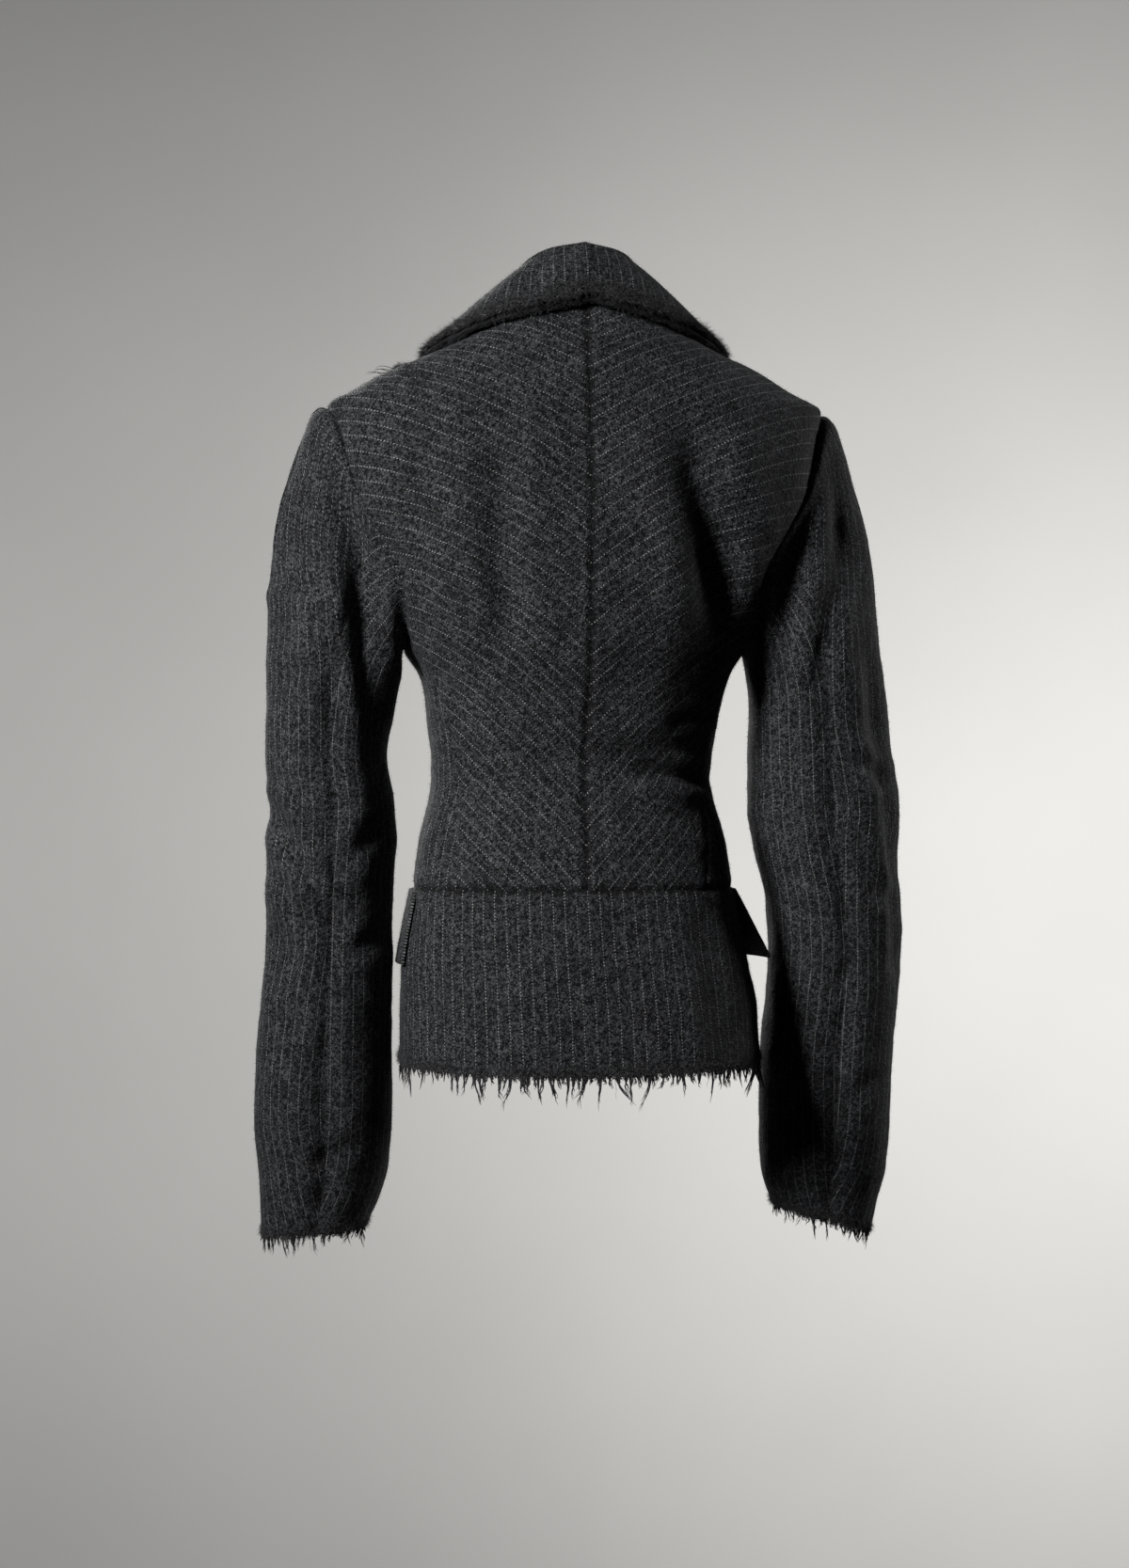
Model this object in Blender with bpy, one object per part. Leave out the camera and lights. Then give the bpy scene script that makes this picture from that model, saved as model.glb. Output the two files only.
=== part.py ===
"""Fitted wool flannel jacket in its worn, hollow form, held up at the shoulders.

Metres, +Z up.  The origin is the point between the shoulders at the level of the nape.
The wearer's left is +X and the front faces -Y.  Every cut and sewn piece is one closed wall.
"""

import math
import random

import bmesh
import bpy
from mathutils import Vector
from mathutils.bvhtree import BVHTree

# Driving dimensions of cloth, seams and trimmings
CLOTH = 0.0020            # thickness of the flannel
SEAM_GAP = 0.00018        # each piece stops this far short of its seam
LAYER_GAP = 0.0006        # clear distance between cloth that lies on cloth
BUTTON_RADIUS = 0.010
BUTTON_HEIGHT = 0.0032
FRINGE_BAND = 0.003       # height of the strip that holds the raw threads
HEM_STRANDS = 80
CUFF_STRANDS = 28
HEM_STRAND_LENGTH = 0.017
CUFF_STRAND_LENGTH = 0.013

# Seam levels of the bodice: 0 is the waist seam, 1 the neckline
ARMHOLE_LOW = 0.45        # where the side seams run into the armhole
UNDERARM = 0.43           # lowest point of the armhole
SHOULDER_TIP = 0.77
SIDE_SEAM = 87.5          # angle of the peplum's side seams
BACK_SEAM_W = 0.25        # sleeve back seam, as a share of the way round the armhole
FRONT_SEAM_W = 0.65

# Numbers of steps in the walls
BACK_STEPS = 7
FRONT_STEPS = 8
LOW_STEPS = 9
ARMHOLE_STEPS = 8
SHOULDER_STEPS = 5
UNDERARM_STEPS = 5
CAP_STEPS = 8
TUBE_STEPS = 13

ROUND_LEFT = 1
ROUND_RIGHT = -1


def table(names, rows):
    """Turn rows of numbers into named columns."""
    return {name: [row[i] for row in rows] for i, name in enumerate(names.split())}


# Rings round the body.  Angles are 0 at centre back, 90 at the side, 180 at centre front.
BODICE = table(
    "t     z_back  z_side  z_front width  y_back  y_front sway   square", [
    (0.000, -0.4840, -0.4840, -0.4840, 0.1312, 0.0960, -0.1040, 0.002, 2.35),
    (0.080, -0.4500, -0.4500, -0.4500, 0.1268, 0.0905, -0.0980, 0.002, 2.35),
    (0.200, -0.3950, -0.3950, -0.3950, 0.1144, 0.0835, -0.0900, 0.003, 2.30),
    (0.310, -0.3450, -0.3450, -0.3450, 0.1197, 0.0920, -0.1060, 0.002, 2.30),
    (0.385, -0.3060, -0.3120, -0.3120, 0.1262, 0.1010, -0.1240, 0.000, 2.40),
    (0.430, -0.2840, -0.2905, -0.2920, 0.1395, 0.1055, -0.1330, 0.000, 2.45),
    (0.550, -0.2220, -0.2350, -0.2350, 0.1650, 0.1115, -0.1400, 0.000, 2.60),
    (0.670, -0.1550, -0.1650, -0.1800, 0.1970, 0.1095, -0.1320, 0.000, 2.60),
    (0.770, -0.0970, -0.0935, -0.1350, 0.2040, 0.1005, -0.1150, 0.000, 2.35),
    (0.800, -0.0820, -0.0845, -0.1240, 0.1895, 0.0975, -0.1090, 0.000, 2.25),
    (0.860, -0.0560, -0.0655, -0.1050, 0.1560, 0.0905, -0.0960, 0.000, 2.15),
    (0.940, -0.0220, -0.0450, -0.0750, 0.1040, 0.0785, -0.0760, 0.000, 2.10),
    (1.000, 0.0000, -0.0100, -0.0500, 0.0660, 0.0605, -0.0560, 0.000, 2.00),
])

PEPLUM = table(
    "t     z_back  z_side  z_front width  y_back  y_front sway   square", [
    (0.00, -0.4840, -0.4840, -0.4840, 0.1312, 0.0960, -0.1040, 0.002, 2.35),
    (0.25, -0.5160, -0.5160, -0.5160, 0.1370, 0.1025, -0.1075, 0.001, 2.35),
    (0.50, -0.5520, -0.5520, -0.5520, 0.1430, 0.1090, -0.1100, -0.001, 2.35),
    (0.75, -0.5900, -0.5890, -0.5890, 0.1470, 0.1145, -0.1120, -0.003, 2.35),
    (1.00, -0.6280, -0.6250, -0.6260, 0.1480, 0.1180, -0.1130, -0.004, 2.35),
])

# Angles of the seams at each level
SIDE_BACK = table("t angle", [
    (0.00, 47.0), (0.08, 50.0), (0.14, 53.0), (0.20, 55.0), (0.26, 57.5),
    (0.30, 60.0), (0.34, 65.0), (0.385, 69.0), (0.45, 70.0),
])
SIDE_FRONT = table("t angle", [(0.00, 128.0), (0.20, 124.0), (0.35, 114.0), (0.45, 108.0)])
ARMHOLE_BACK = table("t angle", [
    (0.45, 70.0), (0.50, 61.0), (0.55, 56.0), (0.61, 57.0),
    (0.67, 61.0), (0.72, 66.0), (0.75, 73.0), (0.77, 90.0),
])
ARMHOLE_FRONT = table("t angle", [
    (0.45, 108.0), (0.50, 117.0), (0.55, 122.0), (0.61, 122.0),
    (0.67, 118.0), (0.72, 113.0), (0.75, 106.0), (0.77, 90.0),
])
FRONT_EDGE = table("t angle", [
    (0.00, 186.5), (0.30, 186.5), (0.36, 185.0), (0.41, 179.4), (0.45, 176.8),
    (0.55, 173.8), (0.67, 171.5), (0.77, 169.0), (0.86, 163.5), (0.94, 153.0), (1.00, 124.0),
])

# Sleeve sections: silhouette of the outer and inner side at each height
SLEEVES = table(
    "z      left_out left_in right_out right_in y_mid  half_depth", [
    (-0.328, 0.2520, 0.1485, 0.2550, 0.1460, 0.000, 0.0570),
    (-0.375, 0.2530, 0.1530, 0.2625, 0.1458, -0.002, 0.0555),
    (-0.420, 0.2505, 0.1480, 0.2683, 0.1459, -0.004, 0.0560),
    (-0.451, 0.2520, 0.1470, 0.2706, 0.1510, -0.007, 0.0555),
    (-0.500, 0.2520, 0.1490, 0.2750, 0.1630, -0.012, 0.0530),
    (-0.544, 0.2535, 0.1495, 0.2784, 0.1663, -0.017, 0.0520),
    (-0.590, 0.2580, 0.1495, 0.2750, 0.1640, -0.023, 0.0530),
    (-0.638, 0.2615, 0.1490, 0.2730, 0.1620, -0.030, 0.0535),
    (-0.680, 0.2635, 0.1485, 0.2728, 0.1622, -0.037, 0.0525),
    (-0.715, 0.2590, 0.1500, 0.2710, 0.1640, -0.043, 0.0490),
    (-0.745, 0.2570, 0.1585, 0.2640, 0.1680, -0.047, 0.0430),
    (-0.772, 0.2560, 0.1700, 0.2590, 0.1770, -0.050, 0.0370),
])
SLEEVE_TOP_Z = SLEEVES["z"][0]
CUFF_Z = {ROUND_LEFT: -0.770, ROUND_RIGHT: -0.768}
CUFF_SLANT = {ROUND_LEFT: 0.003, ROUND_RIGHT: 0.012}

# How each line of the sleeve cap leaves the armhole, by angle round the sleeve
CAP = table("angle outward pull landing", [
    (-270.0, 0.90, 0.82, 0.80), (-220.0, 0.60, 0.65, 0.75), (-160.0, 0.25, 0.45, 0.70),
    (-110.0, 0.10, 0.55, 0.70), (-90.0, 0.10, 0.60, 0.70), (-60.0, 0.10, 0.55, 0.70),
    (-10.0, 0.25, 0.45, 0.70), (40.0, 0.60, 0.65, 0.75), (90.0, 0.90, 0.82, 0.80),
])

# Collar: the stand rises from the neckline to the fold, and the fall lies over the shoulders
COLLAR = table(
    "angle fold_x fold_y fold_z edge_angle edge_t edge_lift bulge", [
    (0, 0.0000, 0.0640, 0.0290, 0.0, 0.950, 0.0095, 0.0045),
    (30, 0.0270, 0.0575, 0.0245, 31.0, 0.932, 0.0085, 0.0035),
    (60, 0.0420, 0.0350, 0.0185, 62.0, 0.920, 0.0075, 0.0025),
    (90, 0.0480, 0.0040, 0.0120, 92.0, 0.912, 0.0070, 0.0015),
    (108, 0.0520, -0.0180, 0.0030, 112.0, 0.905, 0.0070, 0.0020),
    (124, 0.0545, -0.0380, -0.0120, 130.0, 0.900, 0.0070, 0.0025),
])
FOLD_RADIUS = 0.0032
COLLAR_END = 124.0

LAPEL_RISE = 0.0022       # how far the middle of a lapel stands off the front

# Lapels: width across the chest at each level, measured from the roll line
LAPEL = table("t width", [
    (0.420, 0.016), (0.45, 0.026), (0.55, 0.046), (0.67, 0.062), (0.77, 0.070), (0.845, 0.066),
])

# Largest folds: centre, half lengths along and across, turn of the fold, and depth (inward minus)
BODY_FOLDS = table("angle t half_angle half_t turn depth", [
    (24.0, 0.50, 7.0, 0.15, -8.0, -0.0040),
    (-38.0, 0.52, 11.0, 0.17, 10.0, -0.0055),
    (-24.0, 0.60, 10.0, 0.12, 14.0, 0.0020),
    (40.0, 0.58, 11.0, 0.13, -12.0, 0.0025),
    (-24.0, 0.235, 20.0, 0.022, 0.0, -0.0032),
    (-20.0, 0.285, 18.0, 0.030, 0.0, 0.0022),
    (26.0, 0.215, 16.0, 0.024, 0.0, -0.0022),
    (0.0, 0.70, 14.0, 0.10, 0.0, -0.0015),
    (140.0, 0.25, 13.0, 0.050, 18.0, -0.0030),
    (-142.0, 0.23, 14.0, 0.045, -16.0, -0.0034),
    (132.0, 0.60, 9.0, 0.10, 15.0, -0.0030),
    (-133.0, 0.58, 8.0, 0.11, -14.0, -0.0033),
])
PEPLUM_FOLDS = table("angle t half_angle half_t turn depth", [
    (22.0, 0.85, 9.0, 0.45, 0.0, 0.0022),
    (-30.0, 0.90, 10.0, 0.45, 0.0, 0.0026),
    (-4.0, 0.80, 9.0, 0.40, 0.0, -0.0018),
    (55.0, 0.90, 12.0, 0.40, 0.0, -0.0020),
    (-62.0, 0.90, 12.0, 0.40, 0.0, -0.0022),
    (135.0, 0.90, 12.0, 0.40, 0.0, 0.0025),
    (-140.0, 0.90, 11.0, 0.40, 0.0, 0.0025),
])
SLEEVE_FOLDS = table("side angle z half_angle half_z turn depth", [
    (1, 0.0, -0.560, 15.0, 0.270, 0.0, -0.0032),
    (1, -24.0, -0.225, 20.0, 0.060, -26.0, -0.0060),
    (1, 20.0, -0.262, 26.0, 0.030, 0.0, 0.0042),
    (1, 30.0, -0.440, 30.0, 0.022, 18.0, -0.0050),
    (1, 34.0, -0.485, 34.0, 0.022, 10.0, 0.0042),
    (1, 40.0, -0.530, 32.0, 0.020, -8.0, -0.0036),
    (1, -50.0, -0.470, 26.0, 0.030, -10.0, -0.0040),
    (1, 150.0, -0.470, 34.0, 0.024, 14.0, -0.0055),
    (1, 165.0, -0.520, 34.0, 0.022, -8.0, -0.0045),
    (1, 45.0, -0.700, 36.0, 0.024, 8.0, -0.0030),
    (-1, -2.0, -0.540, 15.0, 0.270, 0.0, -0.0034),
    (-1, 30.0, -0.180, 16.0, 0.060, 10.0, -0.0058),
    (-1, 62.0, -0.205, 18.0, 0.060, 6.0, 0.0034),
    (-1, -30.0, -0.250, 20.0, 0.050, -20.0, -0.0042),
    (-1, 40.0, -0.350, 30.0, 0.026, 14.0, -0.0042),
    (-1, 52.0, -0.415, 34.0, 0.030, 10.0, 0.0036),
    (-1, 60.0, -0.545, 36.0, 0.022, -8.0, -0.0034),
    (-1, -48.0, -0.440, 28.0, 0.028, 8.0, -0.0038),
    (-1, 160.0, -0.455, 34.0, 0.026, -12.0, -0.0052),
    (-1, 150.0, -0.510, 34.0, 0.022, 10.0, -0.0044),
    (-1, -40.0, -0.680, 34.0, 0.026, -10.0, -0.0036),
])

# Pocket flaps over the hips
FLAP = table("side back_angle front_angle top_t bottom_t lift_back lift_front", [
    (1, 76.0, 142.0, 0.02, 0.46, 0.0025, 0.0050),
    (-1, 78.0, 142.0, 0.02, 0.46, 0.0160, 0.0050),
])
BUTTON_LEVELS = (0.335, 0.215, 0.085)

COLOURS = {
    "wool": (0.030, 0.031, 0.034, 1.0),
    "thread": (0.040, 0.041, 0.043, 1.0),
    "horn": (0.030, 0.024, 0.020, 1.0),
}


def smooth_step(low, high, value):
    """Rise softly from 0 at low to 1 at high."""
    share = min(1.0, max(0.0, (value - low) / (high - low)))
    return share * share * (3.0 - 2.0 * share)


def along(columns, key, name, value):
    """Read one column of a table at a value of its key, on a smooth curve through the rows."""
    xs, ys = columns[key], columns[name]
    last = len(xs) - 1
    i = 0
    while i < last - 1 and value > xs[i + 1]:
        i += 1

    def slope(k):
        if k == 0:
            return (ys[1] - ys[0]) / (xs[1] - xs[0])
        if k == last:
            return (ys[last] - ys[last - 1]) / (xs[last] - xs[last - 1])
        before = (ys[k] - ys[k - 1]) / (xs[k] - xs[k - 1])
        after = (ys[k + 1] - ys[k]) / (xs[k + 1] - xs[k])
        if before * after <= 0.0:
            return 0.0
        return 2.0 * before * after / (before + after)

    span = xs[i + 1] - xs[i]
    u = min(1.0, max(0.0, (value - xs[i]) / span))
    h00 = (1.0 + 2.0 * u) * (1.0 - u) ** 2
    h10 = u * (1.0 - u) ** 2
    h01 = u * u * (3.0 - 2.0 * u)
    h11 = u * u * (u - 1.0)
    return h00 * ys[i] + h10 * span * slope(i) + h01 * ys[i + 1] + h11 * span * slope(i + 1)


def fold_depth(folds, across_name, along_name, across, level, side=0):
    """Add up the soft troughs and ridges at one place of a piece."""
    depth = 0.0
    for i in range(len(folds["depth"])):
        if side and folds["side"][i] != side:
            continue
        turn = math.radians(folds["turn"][i])
        off_across = across - folds[across_name][i]
        if folds is SLEEVE_FOLDS:
            off_across = (off_across + 180.0) % 360.0 - 180.0
        u = off_across / folds["half_" + across_name][i]
        v = (level - folds[along_name][i]) / folds["half_" + along_name][i]
        u, v = u * math.cos(turn) - v * math.sin(turn), u * math.sin(turn) + v * math.cos(turn)
        depth += folds["depth"][i] * math.exp(-1.3 * (u * u + v * v))
    return depth


def ring_point(rings, t, angle):
    """Point of the smooth body form; negative angles are on the wearer's right."""
    a = math.radians(angle)
    s, c = math.sin(a), math.cos(a)
    power = along(rings, "t", "square", t)
    reach = 1.0 / (abs(s) ** power + abs(c) ** power) ** (1.0 / power)
    depth = along(rings, "t", "y_back" if c > 0.0 else "y_front", t)
    z_mid = along(rings, "t", "z_side", t)
    z_end = along(rings, "t", "z_back" if c > 0.0 else "z_front", t)
    x = along(rings, "t", "sway", t) + along(rings, "t", "width", t) * s * reach
    return Vector((x, depth * abs(c) * reach, z_mid + (z_end - z_mid) * c * c))


def outward(point_at, t, angle, dt=0.004, da=1.0):
    """Unit normal of a surface given as point_at(t, angle), away from the body."""
    low, high = max(0.0, t - dt), min(1.0, t + dt)
    rise = point_at(high, angle) - point_at(low, angle)
    turn = point_at(t, angle + da) - point_at(t, angle - da)
    normal = rise.cross(turn).normalized()
    return normal


def lap_lift(angle):
    """The right front laps over the left, so it stands off the form near centre front."""
    if angle > 0.0:
        return 0.0
    return (CLOTH + LAYER_GAP) * smooth_step(162.0, 171.0, -angle)


def bodice_point(t, angle):
    """Outer surface of the bodice with its folds."""
    base = ring_point(BODICE, t, angle)
    normal = outward(lambda a, b: ring_point(BODICE, a, b), t, angle)
    fade = smooth_step(0.0, 0.06, t)
    fold = fade * fold_depth(BODY_FOLDS, "angle", "t", angle, t)
    return base + normal * (fold + lap_lift(angle))


def peplum_point(t, angle):
    """Outer surface of the peplum; t is 0 at the waist seam and 1 at the raw hem."""
    base = ring_point(PEPLUM, t, angle)
    normal = -outward(lambda a, b: ring_point(PEPLUM, a, b), t, angle)
    fade = smooth_step(0.0, 0.25, t)
    fold = fade * fold_depth(PEPLUM_FOLDS, "angle", "t", angle, t)
    return base + normal * (fold + lap_lift(angle))


def bodice_normal(t, angle):
    return outward(bodice_point, t, angle)


def peplum_normal(t, angle):
    return -outward(peplum_point, t, angle)


def armhole_place(w):
    """Level and angle of the armhole seam; w runs down the back and up the front."""
    if w <= 0.4:
        t = SHOULDER_TIP - (SHOULDER_TIP - ARMHOLE_LOW) * (w / 0.4) ** 1.5
        return t, along(ARMHOLE_BACK, "t", "angle", t)
    if w < 0.6:
        u = (w - 0.4) / 0.2
        t = underarm_level(u)
        start = along(SIDE_BACK, "t", "angle", t)
        return t, start + u * (along(SIDE_FRONT, "t", "angle", t) - start)
    t = SHOULDER_TIP - (SHOULDER_TIP - ARMHOLE_LOW) * ((1.0 - w) / 0.4) ** 1.5
    return t, along(ARMHOLE_FRONT, "t", "angle", t)


def underarm_level(u):
    """Top of the side panel: lowest in its middle."""
    return UNDERARM + (ARMHOLE_LOW - UNDERARM) * (2.0 * u - 1.0) ** 2


def armhole_point(side, w):
    t, angle = armhole_place(w)
    return bodice_point(t, side * angle)


def sleeve_angle(w):
    """Angle round the sleeve: 90 outer, 0 back, -90 inner, -180 front."""
    return 90.0 - 360.0 * w


def sleeve_ring(side, z, angle, lower=0.0):
    """Point of the sleeve tube at one height; lower slants the ring towards the cuff."""
    name = "left" if side > 0 else "right"
    outer = along(SLEEVES, "z_down", name + "_out", -z)
    inner = along(SLEEVES, "z_down", name + "_in", -z)
    a = math.radians(angle)
    x = 0.5 * (outer + inner) + 0.5 * (outer - inner) * math.sin(a)
    y = along(SLEEVES, "z_down", "y_mid", -z)
    y += along(SLEEVES, "z_down", "half_depth", -z) * math.cos(a)
    return Vector((side * x, y, z - lower * math.sin(a)))


SLEEVES["z_down"] = [-z for z in SLEEVES["z"]]


def sleeve_form(side, v, w):
    """Smooth sleeve: v is 0 at the armhole, 1 at the top of the tube and 2 at the cuff."""
    angle = sleeve_angle(w)
    if v >= 1.0:
        share = v - 1.0
        z = SLEEVE_TOP_Z + (CUFF_Z[side] - SLEEVE_TOP_Z) * share
        return sleeve_ring(side, z, angle, CUFF_SLANT[side] * share ** 2)
    start = armhole_point(side, w)
    end = sleeve_ring(side, SLEEVE_TOP_Z, angle)
    below = sleeve_ring(side, SLEEVE_TOP_Z - 0.01, angle)
    t, place = armhole_place(w)
    normal = bodice_normal(t, side * place)
    ring_way = armhole_point(side, (w + 0.004) % 1.0) - armhole_point(side, (w - 0.004) % 1.0)
    leave = ring_way.cross(normal).normalized() * side
    leave += Vector((side, 0.0, 0.0)) * along(CAP, "angle", "outward", cap_angle(angle))
    leave.normalize()
    reach = (end - start).length
    pull = along(CAP, "angle", "pull", cap_angle(angle)) * reach
    landing = along(CAP, "angle", "landing", cap_angle(angle)) * reach
    settle = (below - end).normalized()
    h00 = (1.0 + 2.0 * v) * (1.0 - v) ** 2
    h10 = v * (1.0 - v) ** 2
    h01 = v * v * (3.0 - 2.0 * v)
    h11 = v * v * (v - 1.0)
    return start * h00 + leave * (h10 * pull) + end * h01 + settle * (h11 * landing)


def cap_angle(angle):
    """Bring an angle round the sleeve into the range of the cap table."""
    while angle > 90.0:
        angle -= 360.0
    while angle < -270.0:
        angle += 360.0
    return angle


def sleeve_normal_of(point_at, side, v, w):
    """Unit normal of a sleeve surface, away from the arm."""
    dv, dw = 0.01, 0.004
    low, high = max(0.0, v - dv), min(2.0, v + dv)
    down = point_at(side, high, w) - point_at(side, low, w)
    around = point_at(side, v, w + dw) - point_at(side, v, w - dw)
    return (down.cross(around) * side).normalized()


def wrapped_form(side, v, w):
    return sleeve_form(side, v, w % 1.0)


def sleeve_point(side, v, w):
    """Outer surface of a sleeve with its folds."""
    base = wrapped_form(side, v, w)
    normal = sleeve_normal_of(wrapped_form, side, v, w)
    fade = smooth_step(0.12, 0.5, v) * (1.0 - smooth_step(1.93, 2.0, v))
    fold = fold_depth(SLEEVE_FOLDS, "angle", "z", sleeve_angle(w), base.z, side)
    return base + normal * fold * fade


def sleeve_normal(side, v, w):
    """Normal for the wall; at the armhole it is the bodice's own, so the walls meet."""
    if v <= 0.0:
        t, angle = armhole_place(w % 1.0)
        return bodice_normal(t, side * angle)
    return sleeve_normal_of(sleeve_point, side, v, w)


def pull_in(grid, gap=SEAM_GAP):
    """Move the border of a grid of points inwards, so that pieces stay apart at their seams."""
    rows, cols = len(grid), len(grid[0])
    moved = [[point.copy() for point in row] for row in grid]
    for i in range(rows):
        for here, inner in ((0, 1), (cols - 1, cols - 2)):
            moved[i][here] += (grid[i][inner] - grid[i][here]).normalized() * gap
    for j in range(cols):
        for here, inner in ((0, 1), (rows - 1, rows - 2)):
            moved[here][j] += (grid[inner][j] - grid[here][j]).normalized() * gap
    return moved


def material(name):
    """One plain material for each kind of stuff."""
    found = bpy.data.materials.get(name)
    if found:
        return found
    made = bpy.data.materials.new(name)
    made.use_nodes = True
    shader = made.node_tree.nodes["Principled BSDF"]
    shader.inputs["Base Color"].default_value = COLOURS[name]
    shader.inputs["Roughness"].default_value = 0.45 if name == "horn" else 0.95
    shader.inputs["Metallic"].default_value = 0.0
    return made


def finish_object(bm, name, stuff):
    """Turn a bmesh into one named object with outward faces."""
    bmesh.ops.triangulate(bm, faces=bm.faces[:])
    bmesh.ops.recalc_face_normals(bm, faces=bm.faces[:])
    mesh = bpy.data.meshes.new(name)
    bm.to_mesh(mesh)
    bm.free()
    mesh.shade_smooth()
    mesh.set_sharp_from_angle(angle=math.radians(40))
    mesh.materials.append(material(stuff))
    made = bpy.data.objects.new(name, mesh)
    bpy.context.scene.collection.objects.link(made)
    return made


def wall(name, outer, inner, stuff="wool"):
    """Closed cloth wall between two grids of points."""
    bm = bmesh.new()
    rows, cols = len(outer), len(outer[0])
    face_out = [[bm.verts.new(p) for p in row] for row in outer]
    face_in = [[bm.verts.new(p) for p in row] for row in inner]
    for i in range(rows - 1):
        for j in range(cols - 1):
            for layer in (face_out, face_in):
                bm.faces.new((layer[i][j], layer[i][j + 1], layer[i + 1][j + 1], layer[i + 1][j]))
    border = [(0, j) for j in range(cols)]
    border += [(i, cols - 1) for i in range(1, rows)]
    border += [(rows - 1, j) for j in range(cols - 2, -1, -1)]
    border += [(i, 0) for i in range(rows - 2, 0, -1)]
    for k, (i, j) in enumerate(border):
        m, n = border[(k + 1) % len(border)]
        bm.faces.new((face_out[i][j], face_out[m][n], face_in[m][n], face_in[i][j]))
    return finish_object(bm, name, stuff)


def cloth_wall(name, places, point_at, normal_at):
    """Wall over a grid of places: the outer face has its seam gaps, the inner lies under it."""
    outer = pull_in([[point_at(*place) for place in row] for row in places])
    inner = [
        [outer[i][j] - normal_at(*place) * CLOTH for j, place in enumerate(row)]
        for i, row in enumerate(places)
    ]
    return wall(name, outer, inner)


def steps(low, high, count):
    return [low + (high - low) * i / count for i in range(count + 1)]


def bodice_levels():
    """Levels that all bodice panels share, so that their seams have the same points."""
    low = steps(0.0, ARMHOLE_LOW, LOW_STEPS)
    armhole = [armhole_place(0.4 * (1.0 - i / ARMHOLE_STEPS))[0] for i in range(1, ARMHOLE_STEPS + 1)]
    top = steps(SHOULDER_TIP, 1.0, SHOULDER_STEPS)[1:]
    return low + armhole + top


def back_edge(t):
    if t <= ARMHOLE_LOW:
        return along(SIDE_BACK, "t", "angle", t)
    return along(ARMHOLE_BACK, "t", "angle", t) if t < SHOULDER_TIP else 90.0


def front_side_edge(t):
    if t <= ARMHOLE_LOW:
        return along(SIDE_FRONT, "t", "angle", t)
    return along(ARMHOLE_FRONT, "t", "angle", t) if t < SHOULDER_TIP else 90.0


def make_backs(side, name):
    """Back panel, from the centre back seam to the side seam, armhole and shoulder seam."""
    places = [
        [(t, side * share * back_edge(t)) for share in steps(0.0, 1.0, BACK_STEPS)]
        for t in bodice_levels()
    ]
    return cloth_wall("back_" + name, places, bodice_point, bodice_normal)


def make_fronts(side, name):
    """Front panel, from the side to the front edge below and the roll line above."""
    places = []
    for t in bodice_levels():
        low, high = front_side_edge(t), along(FRONT_EDGE, "t", "angle", t)
        places.append([(t, side * (low + (high - low) * u)) for u in steps(0.0, 1.0, FRONT_STEPS)])
    return cloth_wall("front_" + name, places, bodice_point, bodice_normal)


def make_sides(side, name):
    """Side panel under the arm."""
    places = []
    for share in steps(0.0, 1.0, LOW_STEPS):
        row = []
        for u in steps(0.0, 1.0, UNDERARM_STEPS):
            t = share * underarm_level(u)
            low, high = along(SIDE_BACK, "t", "angle", t), along(SIDE_FRONT, "t", "angle", t)
            row.append((t, side * (low + (high - low) * u)))
        places.append(row)
    return cloth_wall("side_" + name, places, bodice_point, bodice_normal)


def waist_angles():
    """Angles of the waist seam's points on one side, shared by bodice and peplum."""
    low, high = SIDE_BACK["angle"][0], SIDE_FRONT["angle"][0]
    return (
        steps(0.0, low, BACK_STEPS)
        + steps(low, high, UNDERARM_STEPS)[1:]
        + steps(high, FRONT_EDGE["angle"][0], FRONT_STEPS)[1:]
    )


def make_peplum():
    """Peplum: one piece across the back and one for each front."""
    angles = waist_angles()
    split = min(range(len(angles)), key=lambda i: abs(angles[i] - SIDE_SEAM))
    back = [-a for a in reversed(angles[1:split + 1])] + angles[:split + 1]
    levels = steps(0.0, 1.0, 6)
    grids = {"peplum_back": [[(t, a) for a in back] for t in levels]}
    for side, name in ((ROUND_LEFT, "left"), (ROUND_RIGHT, "right")):
        grids["peplum_front_" + name] = [[(t, side * a) for a in angles[split:]] for t in levels]
    return [cloth_wall(name, places, peplum_point, peplum_normal) for name, places in grids.items()]


def make_flap(row):
    """Pocket flap: hangs from the waist seam over the hip and stands off at its lower edge."""
    side = FLAP["side"][row]
    back_angle, front_angle = FLAP["back_angle"][row], FLAP["front_angle"][row]
    outer, inner = [], []
    for share in steps(0.0, 1.0, 5):
        t = FLAP["top_t"][row] + (FLAP["bottom_t"][row] - FLAP["top_t"][row]) * share
        line_out, line_in = [], []
        for u in steps(0.0, 1.0, 9):
            angle = side * (back_angle + (front_angle - back_angle) * u)
            drop = FLAP["lift_back"][row] + (FLAP["lift_front"][row] - FLAP["lift_back"][row]) * u
            lift = CLOTH + LAYER_GAP + drop * share
            normal = peplum_normal(t, angle)
            place = peplum_point(t, angle)
            line_out.append(place + normal * lift)
            line_in.append(place + normal * (lift - CLOTH))
        outer.append(line_out)
        inner.append(line_in)
    return wall("flap_" + ("left" if side > 0 else "right"), outer, inner)


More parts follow.
